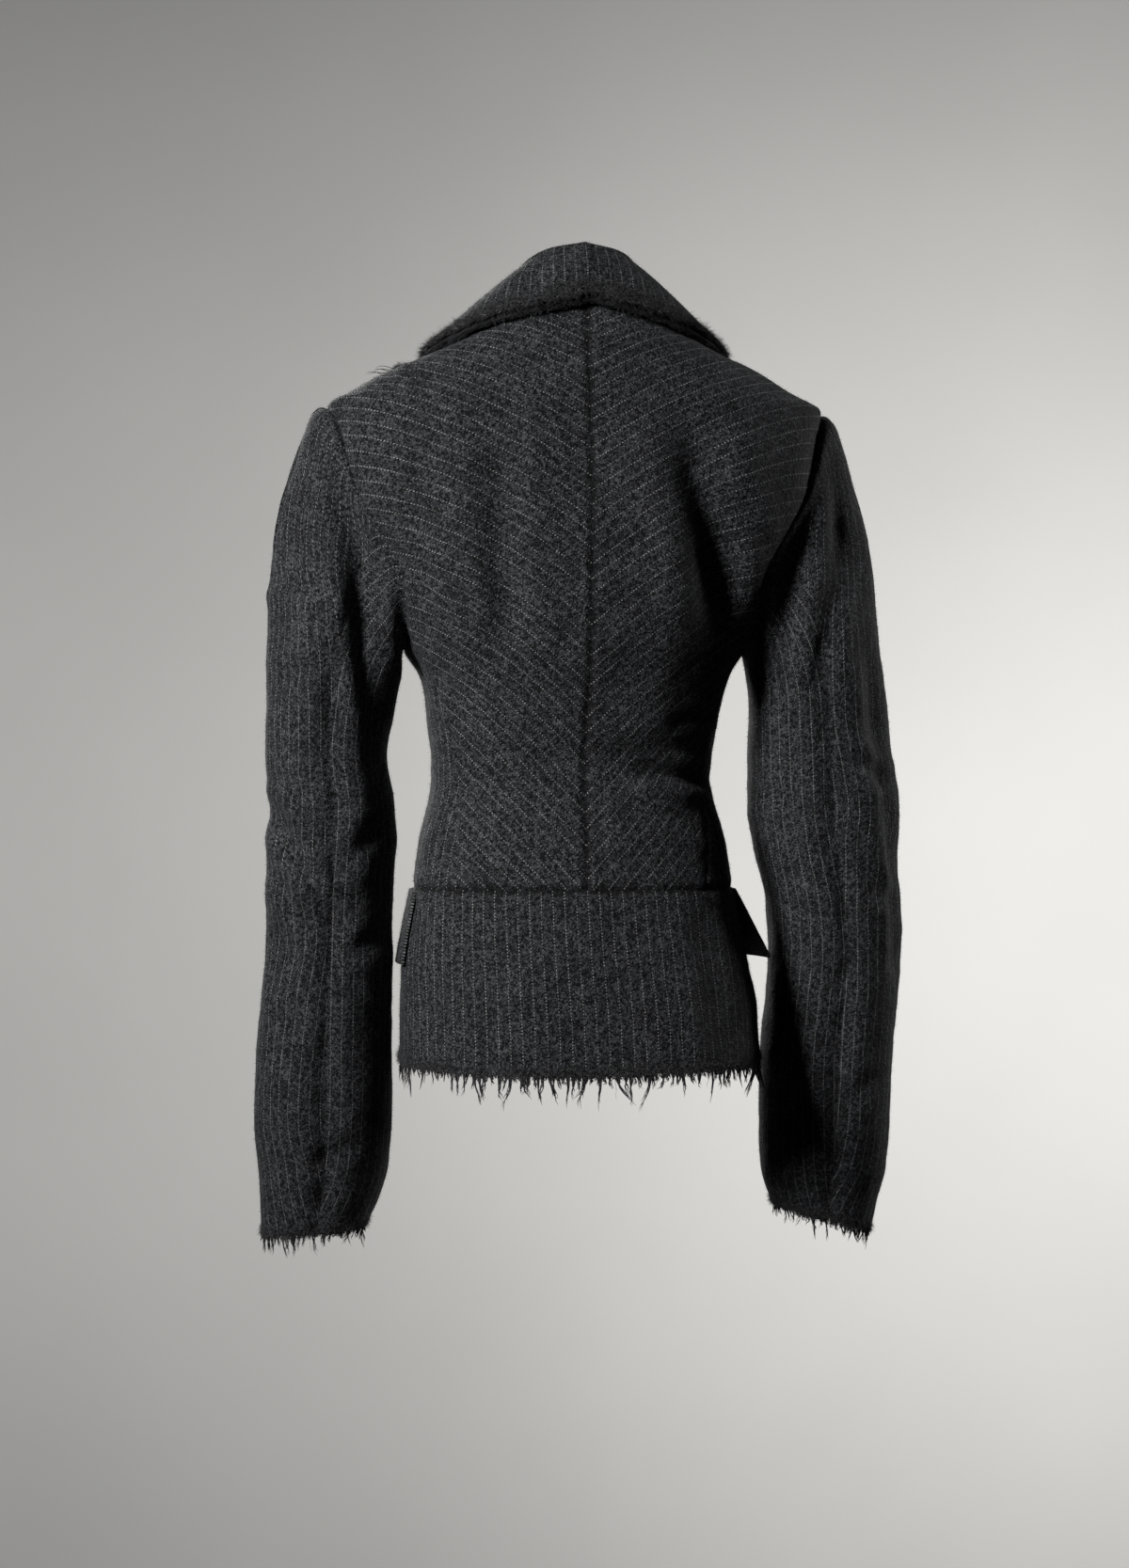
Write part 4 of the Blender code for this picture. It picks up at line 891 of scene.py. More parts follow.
# %% Flaps
FLAP = table("side back_angle front_angle top_t bottom_t lift_back lift_front", [
    (1, 76.0, 142.0, 0.02, 0.46, 0.0025, 0.0050),
    (-1, 78.0, 142.0, 0.02, 0.46, 0.0160, 0.0050),
])
for row in range(2):
    side = int(FLAP["side"][row])
    share, u = edge_steps(0.062)[:, None], edge_steps(0.13)[None, :]
    t = FLAP["top_t"][row] + (FLAP["bottom_t"][row] - FLAP["top_t"][row]) * share
    angle = side * (FLAP["back_angle"][row] + (FLAP["front_angle"][row] - FLAP["back_angle"][row]) * u)
    drop = FLAP["lift_back"][row] + (FLAP["lift_front"][row] - FLAP["lift_back"][row]) * u
    lift = CLOTH + LAYER_GAP + drop * share
    points = peplum_point(t, angle) - outward(peplum_point, t, angle) * lift[..., None]
    cut_piece("flap_" + SIDES[side], points, from_axis(points), NO_SEAMS,
              straight_cloth(points), "flap", seed=800 + side, softness=0.35)
    print("flap", SIDES[side], round(PIECES["flap_" + SIDES[side]]["area"], 4), "m2")

# %% Lapels
LAPEL_RISE = 0.0022
LAPEL = table("t width", [
    (0.420, 0.016), (0.45, 0.026), (0.55, 0.046), (0.67, 0.062), (0.77, 0.070), (0.845, 0.066)])
for side, word in SIDES.items():
    t = (LAPEL["t"][0] + (LAPEL["t"][-1] - LAPEL["t"][0]) * edge_steps(0.22))[:, None]
    roll = along(FRONT_EDGE, "t", "angle", t)
    step = np.linalg.norm(bodice_point(t, side * (roll - 1.0)) - bodice_point(t, side * roll), axis=-1)
    u = edge_steps(0.06)[None, :]
    angle = side * (roll - 0.3 - u * along(LAPEL, "t", "width", t) / step)
    lift = CLOTH + 0.5 * LAYER_GAP + LAPEL_RISE * np.sin(0.85 * math.pi * u)
    points = bodice_point(t, angle) + outward(bodice_point, t, angle) * lift[..., None]
    cloth = np.stack([side * points[..., 0] * 1.04, run_lengths(points, 0)], -1)
    cut_piece("lapel_" + word, points, from_axis(points), NO_SEAMS,
              cloth, "lapel", seed=900 + side, softness=0.25)
    print("lapel", word, round(PIECES["lapel_" + word]["area"], 4), "m2")

# %% [markdown]
# ## Collar
# Stand and fall are one cloth: it rises from the neckline, turns over a soft fold and lies down over
# the shoulders. Its outer edge is raw. Under it a second, narrower layer peeps out, frayed. Its cloth is
# a darker copy of the flannel: painted shade for the shadow under the collar's edge.

# %% Collar
COLLAR = table(
    "angle fold_x fold_y fold_z edge_angle edge_t edge_lift bulge", [
    (0, 0.0000, 0.0640, 0.0290, 0.0, 0.950, 0.0115, 0.0045),
    (30, 0.0270, 0.0575, 0.0245, 31.0, 0.932, 0.0105, 0.0035),
    (60, 0.0420, 0.0350, 0.0185, 62.0, 0.920, 0.0090, 0.0025),
    (90, 0.0480, 0.0040, 0.0120, 92.0, 0.912, 0.0078, 0.0015),
    (108, 0.0520, -0.0180, 0.0030, 112.0, 0.905, 0.0070, 0.0020),
    (124, 0.0545, -0.0380, -0.0120, 130.0, 0.900, 0.0070, 0.0025),
])
FOLD_RADIUS = 0.0032
COLLAR_END = 124.0
# Column in the middle of the collar's fall, and row at centre back
FALL_MIDDLE, CENTRE_BACK = 26, 85


def body_ring(t, angle):
    return ring_point(BODICE, t, angle)


def collar_middle(angle):
    """Middle line of the collar's cloth round the neck: stand, fold and fall, one row for each angle."""
    a, side = np.abs(angle), np.where(angle < 0.0, -1.0, 1.0)
    fold = np.stack([along(COLLAR, "angle", "fold_" + axis, a) for axis in "xyz"], -1)
    fold[:, 0] *= side
    edge_t, edge_angle = along(COLLAR, "angle", "edge_t", a), side * along(COLLAR, "angle", "edge_angle", a)
    lift = along(COLLAR, "angle", "edge_lift", a)[:, None]
    edge = body_ring(edge_t, edge_angle) + outward(body_ring, edge_t, edge_angle) * lift
    base = body_ring(1.0, angle) - outward(body_ring, np.ones(len(angle)), angle) * (0.5 * CLOTH)
    base = base + np.array([0.0, 0.0, 0.0012])
    away = unit((edge - fold) * np.array([1.0, 1.0, 0.0]))
    up = np.array([0.0, 0.0, 1.0])
    line = [base + (fold - away * FOLD_RADIUS - base) * s for s in np.linspace(0.0, 1.0, 9)]
    for rad in np.radians(np.linspace(22.5, 157.5, 7)):
        line.append(fold - away * FOLD_RADIUS * math.cos(rad) + up * FOLD_RADIUS * math.sin(rad))
    start = fold + away * FOLD_RADIUS
    bulge = unit(away + up) * along(COLLAR, "angle", "bulge", a)[:, None]
    for s in np.linspace(0.0, 1.0, 22):
        line.append(start + (edge - start) * s + bulge * 4.0 * s * (1.0 - s))
    return np.stack(line, 1)


collar_angles = np.linspace(-COLLAR_END, COLLAR_END, 2 * CENTRE_BACK + 1)
middle = collar_middle(collar_angles)
facing = unit(np.cross(np.gradient(middle, axis=0), np.gradient(middle, axis=1)))
points = middle + facing * (0.5 * CLOTH)
points = np.swapaxes(ragged(np.swapaxes(points, 0, 1), 940), 0, 1)
run = run_lengths(points, 1)
fall_line = points[:, FALL_MIDDLE:FALL_MIDDLE + 1]
round_neck = run_lengths(fall_line, 0)
round_neck = round_neck - round_neck[CENTRE_BACK]
plumb = 0.9 * (points[..., 0] - fall_line[..., 0]) * np.cos(np.radians(collar_angles))[:, None]
cloth = np.stack([round_neck + plumb, run], -1)
cut_piece("collar", points, facing, ("", "", "", "raw"), cloth, "collar",
          seed=950, softness=0.6)
print("collar:", points.shape[:2], "edge", round(float(run_lengths(points, 0)[-1, -1]), 3), "m long")

# %% Second layer under the collar's edge
facing = grid_normals(points, facing)
width_in, out_over = 0.010, 0.0056
BAND_WIDTH = 0.0135
edge_way = unit(points[:, -1] - points[:, -3])
band = []
wave = soft_noise(points[:, -1], 0.012, 960) + 0.5 * soft_noise(points[:, -1], 0.004, 961)
for s in np.linspace(0.0, 1.0, 7):
    reach = -width_in + (width_in + out_over + 0.0020 * wave) * s
    sink = 0.0036 + 0.0004 * wave * s
    band.append(points[:, -1] + edge_way * reach[:, None] - facing[:, -1] * sink[:, None])
band = np.stack(band, 1)
uvs = {"cloth": np.stack([run_lengths(band, 0), run_lengths(band, 1)], -1),
       "edge": np.stack([run_lengths(band, 1)[:, ::-1] * 0.3, np.full(band.shape[:2], 0.05)], -1)}
under_collar = shell("collar_under_layer", band, band - facing[:, -1:] * 0.0012, uvs)
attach(under_collar, "root")
PIECES["under_layer"] = {"object": under_collar, "area": cloth_area(band),
                         "flat": (float(run_lengths(band, 0)[-1].max()), BAND_WIDTH)}
print("under layer:", round(PIECES["under_layer"]["area"], 5), "m2")

# %% [markdown]
# ## Yarns and fuzz
# Two helpers make all loose fibre. Yarns are thin tapering tubes along given paths. Fuzz is joined
# slivers of one or three triangles each, because tens of thousands of them have to stay light.


# %% Tapering tubes along paths
def yarns(name, paths, radius, taper, sides=4):
    """One object of many tubes; paths is count by points by 3, and taper a share for each point."""
    count, length = paths.shape[:2]
    way = unit(np.gradient(paths, axis=1))
    first = unit(np.cross(way, np.array([0.31, 0.57, 0.76])))
    second = np.cross(way, first)
    turns = np.linspace(0.0, 2.0 * math.pi, sides, endpoint=False)
    thick = (np.broadcast_to(radius, (count,))[:, None] * taper)[..., None, None]
    ring = first[..., None, :] * np.cos(turns)[:, None] + second[..., None, :] * np.sin(turns)[:, None]
    points = paths[..., None, :] + ring * thick
    index = np.arange(count * length * sides).reshape(count, length, sides)
    here, there = index[:, :-1], index[:, 1:]
    faces = np.stack([here, np.roll(here, -1, 2), np.roll(there, -1, 2), there], -1).reshape(-1, 4)
    made = mesh_object(name, points, faces)
    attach(made, "root")
    return made


# %% Pointed slivers
def slivers(name, roots, ways, lengths, width, seed, bent=True):
    """One object of many flat, pointed hairs: three triangles each if bent, else one."""
    dice = np.random.default_rng(seed)
    count = len(roots)
    across = unit(np.cross(ways, dice.normal(size=(count, 3))))
    bend = unit(np.cross(ways, across)) * (dice.uniform(-0.5, 0.5, count) * lengths)[:, None]
    half = across * (0.5 * np.broadcast_to(width, (count,)))[:, None]
    middle = roots + ways * (0.55 * lengths)[:, None] + bend * 0.25
    tip = roots + ways * (0.95 * lengths)[:, None] + bend
    points = [roots - half, roots + half, middle - half * 0.7, middle + half * 0.7, tip]
    corners = [[0, 1, 3], [0, 3, 2], [2, 3, 4]]
    if not bent:
        points, corners = [points[0], points[1], tip], [[0, 1, 2]]
    base = np.arange(count)[:, None] * len(points)
    made = mesh_object(name, np.stack(points, 1), np.concatenate([base + np.array([c]) for c in corners]))
    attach(made, "root")
    return made


print("triangles a bent hair:", 3, "and a straight one:", 1)

# %% [markdown]
# ## Raw hem and cuffs
# Torn flannel sheds its cross threads, and the rest cling together in tapering, slightly curly locks.
# Each lock is a few yarns that start side by side in the cloth and run to one common tip.


# %% Locks of yarn along an edge
def locks(edge, down, out, count, lengths, dice, spread=0.0022, members=4, steps=8):
    """Paths of yarns; edge, down and out are dense points and directions along a raw edge."""
    walked = run_lengths(edge[None], 1)[0]
    place = (np.arange(count) + dice.uniform(-0.4, 0.4, count)) / count * walked[-1]
    place = np.clip(place, 0.001, walked[-1] - 0.001)

    def read(values, where):
        return np.stack([np.interp(where, walked, values[:, k]) for k in range(3)], -1)

    long = dice.choice(lengths, count) * dice.uniform(0.75, 1.2, count)
    side_lean, out_lean = dice.normal(0.0, 0.22, count), dice.normal(0.05, 0.16, count)
    curl_size, curl_phase = dice.uniform(0.0006, 0.0024, count), dice.uniform(0.0, 6.28, count)
    share = np.linspace(0.0, 1.0, steps)
    paths = []
    for member in range(members):
        off = (member / max(members - 1, 1) - 0.5) * 2.0 * spread * dice.uniform(0.5, 1.3, count)
        base = read(edge, np.clip(place + off, 0.0005, walked[-1] - 0.0005))
        tip_base = read(edge, place)
        way_down, way_out = unit(read(down, place)), unit(read(out, place))
        way_side = unit(np.cross(way_down, way_out))
        base = base - way_out * (dice.uniform(0.2, 0.8, count) * CLOTH)[:, None] - way_down * 0.0025
        own = long * dice.uniform(0.55, 1.0, count)
        line = []
        for s in share:
            centre = tip_base + way_down * (own * s)[:, None]
            centre = centre + way_side * (side_lean * own * s * s)[:, None]
            centre = centre + way_out * (out_lean * own * s * s - 0.5 * CLOTH)[:, None]
            wave = curl_size * np.sin(curl_phase + member * 0.6 + s * 6.5) * s
            centre = centre + way_side * wave[:, None] + way_out * (0.7 * wave * np.cos(curl_phase))[:, None]
            pull = smooth_step(0.0, 0.7, s)
            line.append(base * (1.0 - pull) + centre * pull
                        + way_down * (own * s)[:, None] * (1.0 - pull))
        paths.append(np.stack(line, 1))
    return np.concatenate(paths)


TAPER = np.array([1.0, 1.0, 0.92, 0.85, 0.75, 0.6, 0.42, 0.12])
LOCK_LENGTHS = np.array([0.006, 0.008, 0.009, 0.011, 0.013, 0.016, 0.019, 0.023, 0.027])
SHORT_LENGTHS = np.array([0.003, 0.004, 0.005])

# %% Hem
HEM_POINTS = 900
hem_angles = np.linspace(-184.0, 184.0, HEM_POINTS)
hem_edge = peplum_point(np.ones(HEM_POINTS), hem_angles)
hem_down = unit(hem_edge - peplum_point(np.full(HEM_POINTS, 0.96), hem_angles))
hem_out = -outward(peplum_point, np.ones(HEM_POINTS), hem_angles)
dice = np.random.default_rng(31)
hem_paths = np.concatenate([
    locks(hem_edge, hem_down, hem_out, 235, LOCK_LENGTHS, dice, spread=0.0017, members=6),
    locks(hem_edge, hem_down, hem_out, 420, SHORT_LENGTHS, dice, spread=0.0016, members=2)])
hem_locks = yarns("hem_locks", hem_paths, dice.uniform(0.00036, 0.00064, len(hem_paths)), TAPER)
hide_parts("hem_fringe")
white_paths = locks(hem_edge, hem_down, hem_out, 60, LOCK_LENGTHS[:7], dice, members=1)
hem_white = yarns("hem_white_yarns", white_paths, 0.00022, TAPER)
print("hem yarns:", len(hem_paths) + len(white_paths))

# %% Cuffs
CUFF_PIECES = {}
for side, word in SIDES.items():
    w = np.linspace(0.0, 1.0, 400)[None, :]
    edge = sleeve_point(side, np.array([[2.0]]), w)[0]
    down = unit(edge - sleeve_point(side, np.array([[1.96]]), w)[0])
    out = unit(sleeve_centre(edge, side) * np.array([1.0, 1.0, 0.0]))
    dice = np.random.default_rng(40 + side)
    paths = np.concatenate([
        locks(edge, down, out, 66, LOCK_LENGTHS * 0.7, dice, spread=0.0018, members=6),
        locks(edge, down, out, 130, SHORT_LENGTHS, dice, spread=0.0016, members=2)])
    made = yarns("cuff_locks_" + word, paths, dice.uniform(0.00030, 0.00052, len(paths)), TAPER)
    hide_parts("cuff_fringe_" + word)
    white = yarns("cuff_white_yarns_" + word, locks(edge, down, out, 14, LOCK_LENGTHS[:6], dice, members=1),
                  0.0002, TAPER)
    CUFF_PIECES[word] = (made, white, edge, down, out)
    print("cuff", word, "yarns:", len(paths) + 14)

# %% [markdown]
# ## Fuzz on the cloth and along the raw edges
# Milled flannel carries short fibres that stand a millimetre or two off the surface. They soften the
# outline and are densest at the collar's torn edge, at the hem and at the cuffs.


# %% Nap over the pieces
def nap_roots(piece, count, dice):
    """Random places on the outer side of a piece, with normals and directions down the cloth."""
    outer, normals = piece["outer"], piece["normals"]
    rows, cols = outer.shape[:2]
    a, b = np.diff(outer, axis=0)[:, :-1], np.diff(outer, axis=1)[:-1]
    size = np.linalg.norm(np.cross(a, b), axis=-1).ravel()
    cell = dice.choice(len(size), count, p=size / size.sum())
    i, j = cell // (cols - 1), cell % (cols - 1)
    u, v = dice.uniform(size=(count, 1)), dice.uniform(size=(count, 1))
    place = outer[i, j] * (1 - u) * (1 - v) + outer[i + 1, j] * u * (1 - v)
    place = place + outer[i, j + 1] * (1 - u) * v + outer[i + 1, j + 1] * u * v
    return place, normals[i, j]


def nap(name, parts, density, seed, length=(0.0010, 0.0034), width=0.00016, lift=(0.10, 0.9)):
    """Fuzz over several pieces, density hairs for each square metre."""
    dice = np.random.default_rng(seed)
    roots, ways = [], []
    for part in parts:
        place, normal = nap_roots(PIECES[part], int(density * PIECES[part]["area"]), dice)
        lying = unit(np.cross(normal, dice.normal(size=normal.shape)))
        stand = dice.uniform(*lift, size=(len(place), 1))
        roots.append(place - normal * 0.0002)
        ways.append(unit(lying * (1.0 - stand) + normal * stand))
    roots, ways = np.concatenate(roots), np.concatenate(ways)
    made = slivers(name, roots, ways, dice.uniform(*length, len(roots)), width, seed + 1, bent=False)
    print(name, len(roots), "hairs")
    return made


BODY_PARTS = [n + word for n in ("back_", "front_", "side_") for word in SIDES.values()]
LOW_PARTS = ["peplum_back", "peplum_front_left", "peplum_front_right", "flap_left", "flap_right",
             "lapel_left", "lapel_right", "collar"]
SLEEVE_PARTS = [n + word for n in ("sleeve_upper_", "sleeve_under_") for word in SIDES.values()]
FUZZ = [
    nap("nap_bodice", BODY_PARTS, 230000, 71),
    nap("nap_peplum_collar", LOW_PARTS, 270000, 72),
    nap("nap_sleeves", SLEEVE_PARTS, 230000, 73),
]


# %% Fuzz along the raw edges
def edge_fuzz(name, edge, down, out, count, length, seed, width=0.00018, back=0.004, side_way=0.9):
    """Short tangled fibres on and just above a raw edge."""
    dice = np.random.default_rng(seed)
    walked = run_lengths(edge[None], 1)[0]
    where = dice.uniform(0.0, walked[-1], count)
    place, fall, face = (np.stack([np.interp(where, walked, v[:, k]) for k in range(3)], -1)
                         for v in (edge, down, out))
    side_dir = unit(np.cross(fall, face))
    ways = unit(fall * dice.normal(0.55, 0.5, (count, 1)) + side_dir * dice.normal(0.0, side_way, (count, 1))
                + face * dice.normal(0.35, 0.45, (count, 1)))
    roots = place - fall * (back * dice.uniform(0.0, 1.0, (count, 1)) ** 1.6) - face * 0.0002
    return slivers(name, roots, ways, dice.uniform(*length, count), width, seed + 1)


collar_outer = PIECES["collar"]["outer"]
collar_edge = collar_outer[:, -1]
collar_down = unit(collar_outer[:, -1] - collar_outer[:, -3])
collar_out = PIECES["collar"]["normals"][:, -1]
FUZZ += [
    edge_fuzz("collar_edge_fuzz", collar_edge, collar_down, collar_out, 15000, (0.002, 0.0090), 81,
              back=0.014),
    edge_fuzz("collar_under_fuzz", collar_edge + collar_down * 0.0052 - collar_out * 0.0042, collar_down,
              collar_out * 0.3, 4500, (0.002, 0.006), 83, back=0.002),
    edge_fuzz("hem_edge_fuzz", hem_edge, hem_down, hem_out, 15000, (0.002, 0.0065), 85, back=0.008),
]
for word, (made, white, edge, down, out) in CUFF_PIECES.items():
    FUZZ.append(edge_fuzz("cuff_edge_fuzz_" + word, edge, down, out, 5500, (0.002, 0.0065), 87, back=0.008))
dice = np.random.default_rng(91)
torn = [locks(collar_edge - collar_out * sink + collar_down * over, collar_down, collar_out, 190,
              np.array([0.002, 0.003, 0.004, 0.0055]), dice, spread=0.0015, members=3)
        for sink, over in ((0.0, 0.0), (0.0040, 0.0050))]
torn = np.concatenate(torn)
collar_radii = dice.uniform(0.00022, 0.00040, len(torn))
collar_locks = yarns("collar_locks", torn, collar_radii, TAPER, sides=3)
collar_white = edge_fuzz("collar_white_bits", collar_edge, collar_down, collar_out, 90, (0.002, 0.0050), 97,
                         width=0.00050, back=0.005)
print("fuzz pieces:", len(FUZZ))

# %% A raw tuft and a stray yarn on the left shoulder
TUFT_LEVEL, TUFT_POINTS, STRAYS = 0.872, 40, 5
tuft_t, tuft_angle = np.full(TUFT_POINTS, TUFT_LEVEL), np.linspace(76.0, 92.0, TUFT_POINTS)
tuft_edge = bodice_point(tuft_t, tuft_angle)
tuft_out = outward(bodice_point, tuft_t, tuft_angle)
tuft_way = np.repeat(unit(np.array([[1.0, 0.0, -0.35]])), TUFT_POINTS, 0)
FUZZ.append(edge_fuzz("shoulder_edge_fuzz", tuft_edge, tuft_way, tuft_out, 900, (0.002, 0.006), 93,
                      back=0.006))
dice = np.random.default_rng(95)
stray = []
for number in range(STRAYS):
    s = np.linspace(0.0, 1.0, 8)[:, None]
    reach, rise = dice.uniform(0.010, 0.020), dice.uniform(0.001, 0.004)
    sideways = np.array([1.0, 0.0, -0.15]) * reach * s
    sideways = sideways + np.array([0.0, 1.0, 0.0]) * dice.normal(0.0, 0.003) * s
    curl = tuft_out[20] * (rise * np.sin(2.6 * s) + 0.0004)
    root = bodice_point(np.full(1, TUFT_LEVEL - 0.004 * number), np.full(1, 88.0))
    stray.append(root + sideways + curl)
stray = yarns("shoulder_stray_yarns", np.array(stray), 0.00030, TAPER)
print("stray yarns:", STRAYS)

# %% [markdown]
# ## Buttons and buttonholes
# Three plain sew-through buttons close the front. Each has a raised rim, a dished middle, four holes
# and crossed thread, over a worked buttonhole in the lapping front.

# %% Buttons
BUTTON_RADIUS, BUTTON_HEIGHT, HOLE_OFF, HOLE_RADIUS = 0.010, 0.0032, 0.0019, 0.00085
BUTTON_LEVELS = (0.335, 0.215, 0.085)


def button_height(x, y):
    """Height of a button's face over its underside."""
    r = np.hypot(x, y)
    face = BUTTON_HEIGHT - 0.0009 + 0.0009 * np.exp(-((r - 0.0082) / 0.0011) ** 2)
    face = face - 0.0022 * smooth_step(0.0088, BUTTON_RADIUS, r) ** 2
    for a, b in itertools.product((-HOLE_OFF, HOLE_OFF), repeat=2):
        face = face - 0.0016 * (1.0 - smooth_step(0.7 * HOLE_RADIUS, HOLE_RADIUS, np.hypot(x - a, y - b)))
    return face


def button_frame(t):
    """Centre, outward way, and ways across and up of a button."""
    number = BUTTON_LEVELS.index(t) + 1
    centre = np.mean([list(corner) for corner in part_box(f"button_{number}")], axis=0)
    normal = outward(bodice_point, np.array([t]), np.array([-180.0]))[0]
    across = unit(np.cross(np.array([0.0, 0.0, 1.0]), normal))
    return centre, normal, across, np.cross(normal, across)


BUTTONS, BUTTON_THREADS = [], []
spokes, rings = 64, np.concatenate([np.linspace(0.0, 0.0045, 16), np.linspace(0.0048, BUTTON_RADIUS, 18)])
for number, t in enumerate(BUTTON_LEVELS, start=1):
    centre, normal, across, up = button_frame(t)
    a = np.linspace(0.0, 2.0 * math.pi, spokes + 1)[None, :]
    x, y = rings[:, None] * np.cos(a), rings[:, None] * np.sin(a)
    base = centre - normal * (0.5 * BUTTON_HEIGHT)
    top = base + across * x[..., None] + up * y[..., None] + normal * button_height(x, y)[..., None]
    below = base + across * x[::-1][..., None] + up * y[::-1][..., None]
    points = np.concatenate([top, below])
    made = mesh_object(f"button_{number}_horn", points, grid_faces(*points.shape[:2]))
    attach(made, "root")
    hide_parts(f"button_{number}")
    BUTTONS.append(made)
    paths = []
    for sx, sy, ex, ey in ((-1, -1, 1, 1), (-1, 1, 1, -1)):
        for shift in (-0.00035, 0.0, 0.00035):
            s = np.linspace(0.0, 1.0, 8)[:, None]
            rise = BUTTON_HEIGHT - 0.0011 + 0.0007 * np.sin(math.pi * s) + 0.0003 * (sx * sy < 0)
            paths.append(base + normal * rise + across * (HOLE_OFF * (sx + (ex - sx) * s) + shift)
                         + up * (HOLE_OFF * (sy + (ey - sy) * s) - shift * sy))
    BUTTON_THREADS.append(yarns(f"button_{number}_thread", np.array(paths), 0.00022, np.ones(8)))
print("buttons:", len(BUTTONS))

# %% Buttonholes
HOLE_LENGTH, HOLE_POINTS = 0.019, 120
BODICE_HEIGHT = 0.48
loops = []
for t in BUTTON_LEVELS:
    centre, normal, across, up = button_frame(t)
    s = np.linspace(0.0, 2.0 * math.pi, HOLE_POINTS)
    beat = 1.0 + 0.16 * np.sin(np.arange(HOLE_POINTS) * 2.6)
    along_x = -0.5 * HOLE_LENGTH * (1.0 - np.cos(s)) + 0.002
    up_y = 0.0011 * np.sign(np.sin(s)) * np.abs(np.sin(s)) ** 0.35 * beat
    step = float(np.linalg.norm(np.diff(bodice_point(np.full(2, t), np.array([-180.0, -179.0])), axis=0)))
    loops.append(bodice_point(t + up_y / BODICE_HEIGHT, -180.0 - along_x / step) + normal * 0.0004)
buttonholes = yarns("buttonhole_threads", np.array(loops), 0.00045, np.ones(HOLE_POINTS), sides=5)
print("buttonholes:", len(loops))

# %% [markdown]
# ## Flannel
# The cloth is heathered: dark and pale grey fibres are spun together, so it looks speckled from near
# and charcoal from afar. Through it run thin stripes of off-white yarn that shows as dots, because the
# yarn dips under the weave. Both effects are node groups, so wool, under layer and yarns can share them.


# %% Small helpers for node trees
def new_group(name, inputs, outputs):
    """Empty node group; inputs are (name, kind, value) and outputs are (name, kind)."""
    tree = bpy.data.node_groups.new(name, "ShaderNodeTree")
    for label, kind, value in inputs:
        socket = tree.interface.new_socket(label, in_out="INPUT", socket_type="NodeSocket" + kind)
        if value is not None:
            socket.default_value = value
    for label, kind in outputs:
        tree.interface.new_socket(label, in_out="OUTPUT", socket_type="NodeSocket" + kind)
    return tree, tree.nodes.new("NodeGroupInput"), tree.nodes.new("NodeGroupOutput")


def node(tree, kind, sockets=None, **settings):
    """New node; sockets maps an input to a value or to the output that feeds it."""
    made = tree.nodes.new("ShaderNode" + kind)
    for key, value in settings.items():
        setattr(made, key, value)
    for key, value in (sockets or {}).items():
        if isinstance(value, bpy.types.NodeSocket):
            tree.links.new(value, made.inputs[key])
        else:
            made.inputs[key].default_value = value
    return made


def math_node(tree, operation, *values):
    return node(tree, "Math", dict(enumerate(values)), operation=operation).outputs[0]


def ramp(tree, value, low, high, to_low=0.0, to_high=1.0, shape="SMOOTHSTEP"):
    """Map a value from one range to another and keep it inside."""
    made = node(tree, "MapRange", {"Value": value, "From Min": low, "From Max": high,
                                   "To Min": to_low, "To Max": to_high})
    made.interpolation_type = shape
    return made.outputs[0]


# %% Group: dotted stripe
def make_stripe_group():
    """Mask of thin dotted stripes on the flat cloth coordinates."""
    tree, start, end = new_group("dotted stripe", [
        ("Cloth", "Vector", None), ("Spacing", "Float", 0.0092), ("Width", "Float", 0.00058),
        ("Dot Pitch", "Float", 0.0025), ("Raw Distance", "Float", 0.05)], [("Mask", "Float")])
    sway = node(tree, "TexNoise", {"Vector": start.outputs["Cloth"], "Scale": 38.0, "Detail": 2.0})
    parts = node(tree, "SeparateXYZ", {0: start.outputs["Cloth"]})
    drift = math_node(tree, "MULTIPLY", math_node(tree, "SUBTRACT", sway.outputs[0], 0.5), 0.0016)
    u = math_node(tree, "ADD", parts.outputs[0], drift)
    count = math_node(tree, "DIVIDE", u, start.outputs["Spacing"])
    number = math_node(tree, "ROUND", count)
    off = math_node(tree, "ABSOLUTE", math_node(tree, "SUBTRACT", count, number))
    off = math_node(tree, "MULTIPLY", off, start.outputs["Spacing"])
    line = ramp(tree, math_node(tree, "DIVIDE", off, start.outputs["Width"]), 1.0, 0.35)
    beat = math_node(tree, "DIVIDE", parts.outputs[1], start.outputs["Dot Pitch"])
    beat = math_node(tree, "ADD", beat, math_node(tree, "MULTIPLY", number, 0.37))
    beat = math_node(tree, "ADD", beat, math_node(tree, "MULTIPLY", sway.outputs[0], 0.5))
    dot_number = math_node(tree, "FLOOR", beat)
    phase = math_node(tree, "ABSOLUTE", math_node(tree, "SUBTRACT", math_node(tree, "FRACT", beat), 0.5))
    dot = ramp(tree, phase, 0.30, 0.10)
    key = node(tree, "CombineXYZ", {0: number, 1: dot_number})
    luck = node(tree, "TexWhiteNoise", {"Vector": key.outputs[0]})
    bright = ramp(tree, luck.outputs[0], 0.0, 0.9, 0.30, 1.0, "LINEAR")
    patch = node(tree, "TexNoise", {"Vector": start.outputs["Cloth"], "Scale": 70.0, "Detail": 1.0})
    cover = ramp(tree, patch.outputs[0], 0.32, 0.62, 0.35, 1.0)
    clear = ramp(tree, start.outputs["Raw Distance"], 0.004, 0.013)
    mask = line
    for factor in (dot, bright, cover, clear):
        mask = math_node(tree, "MULTIPLY", mask, factor)
    tree.links.new(mask, end.inputs["Mask"])
    return tree


STRIPE = make_stripe_group()


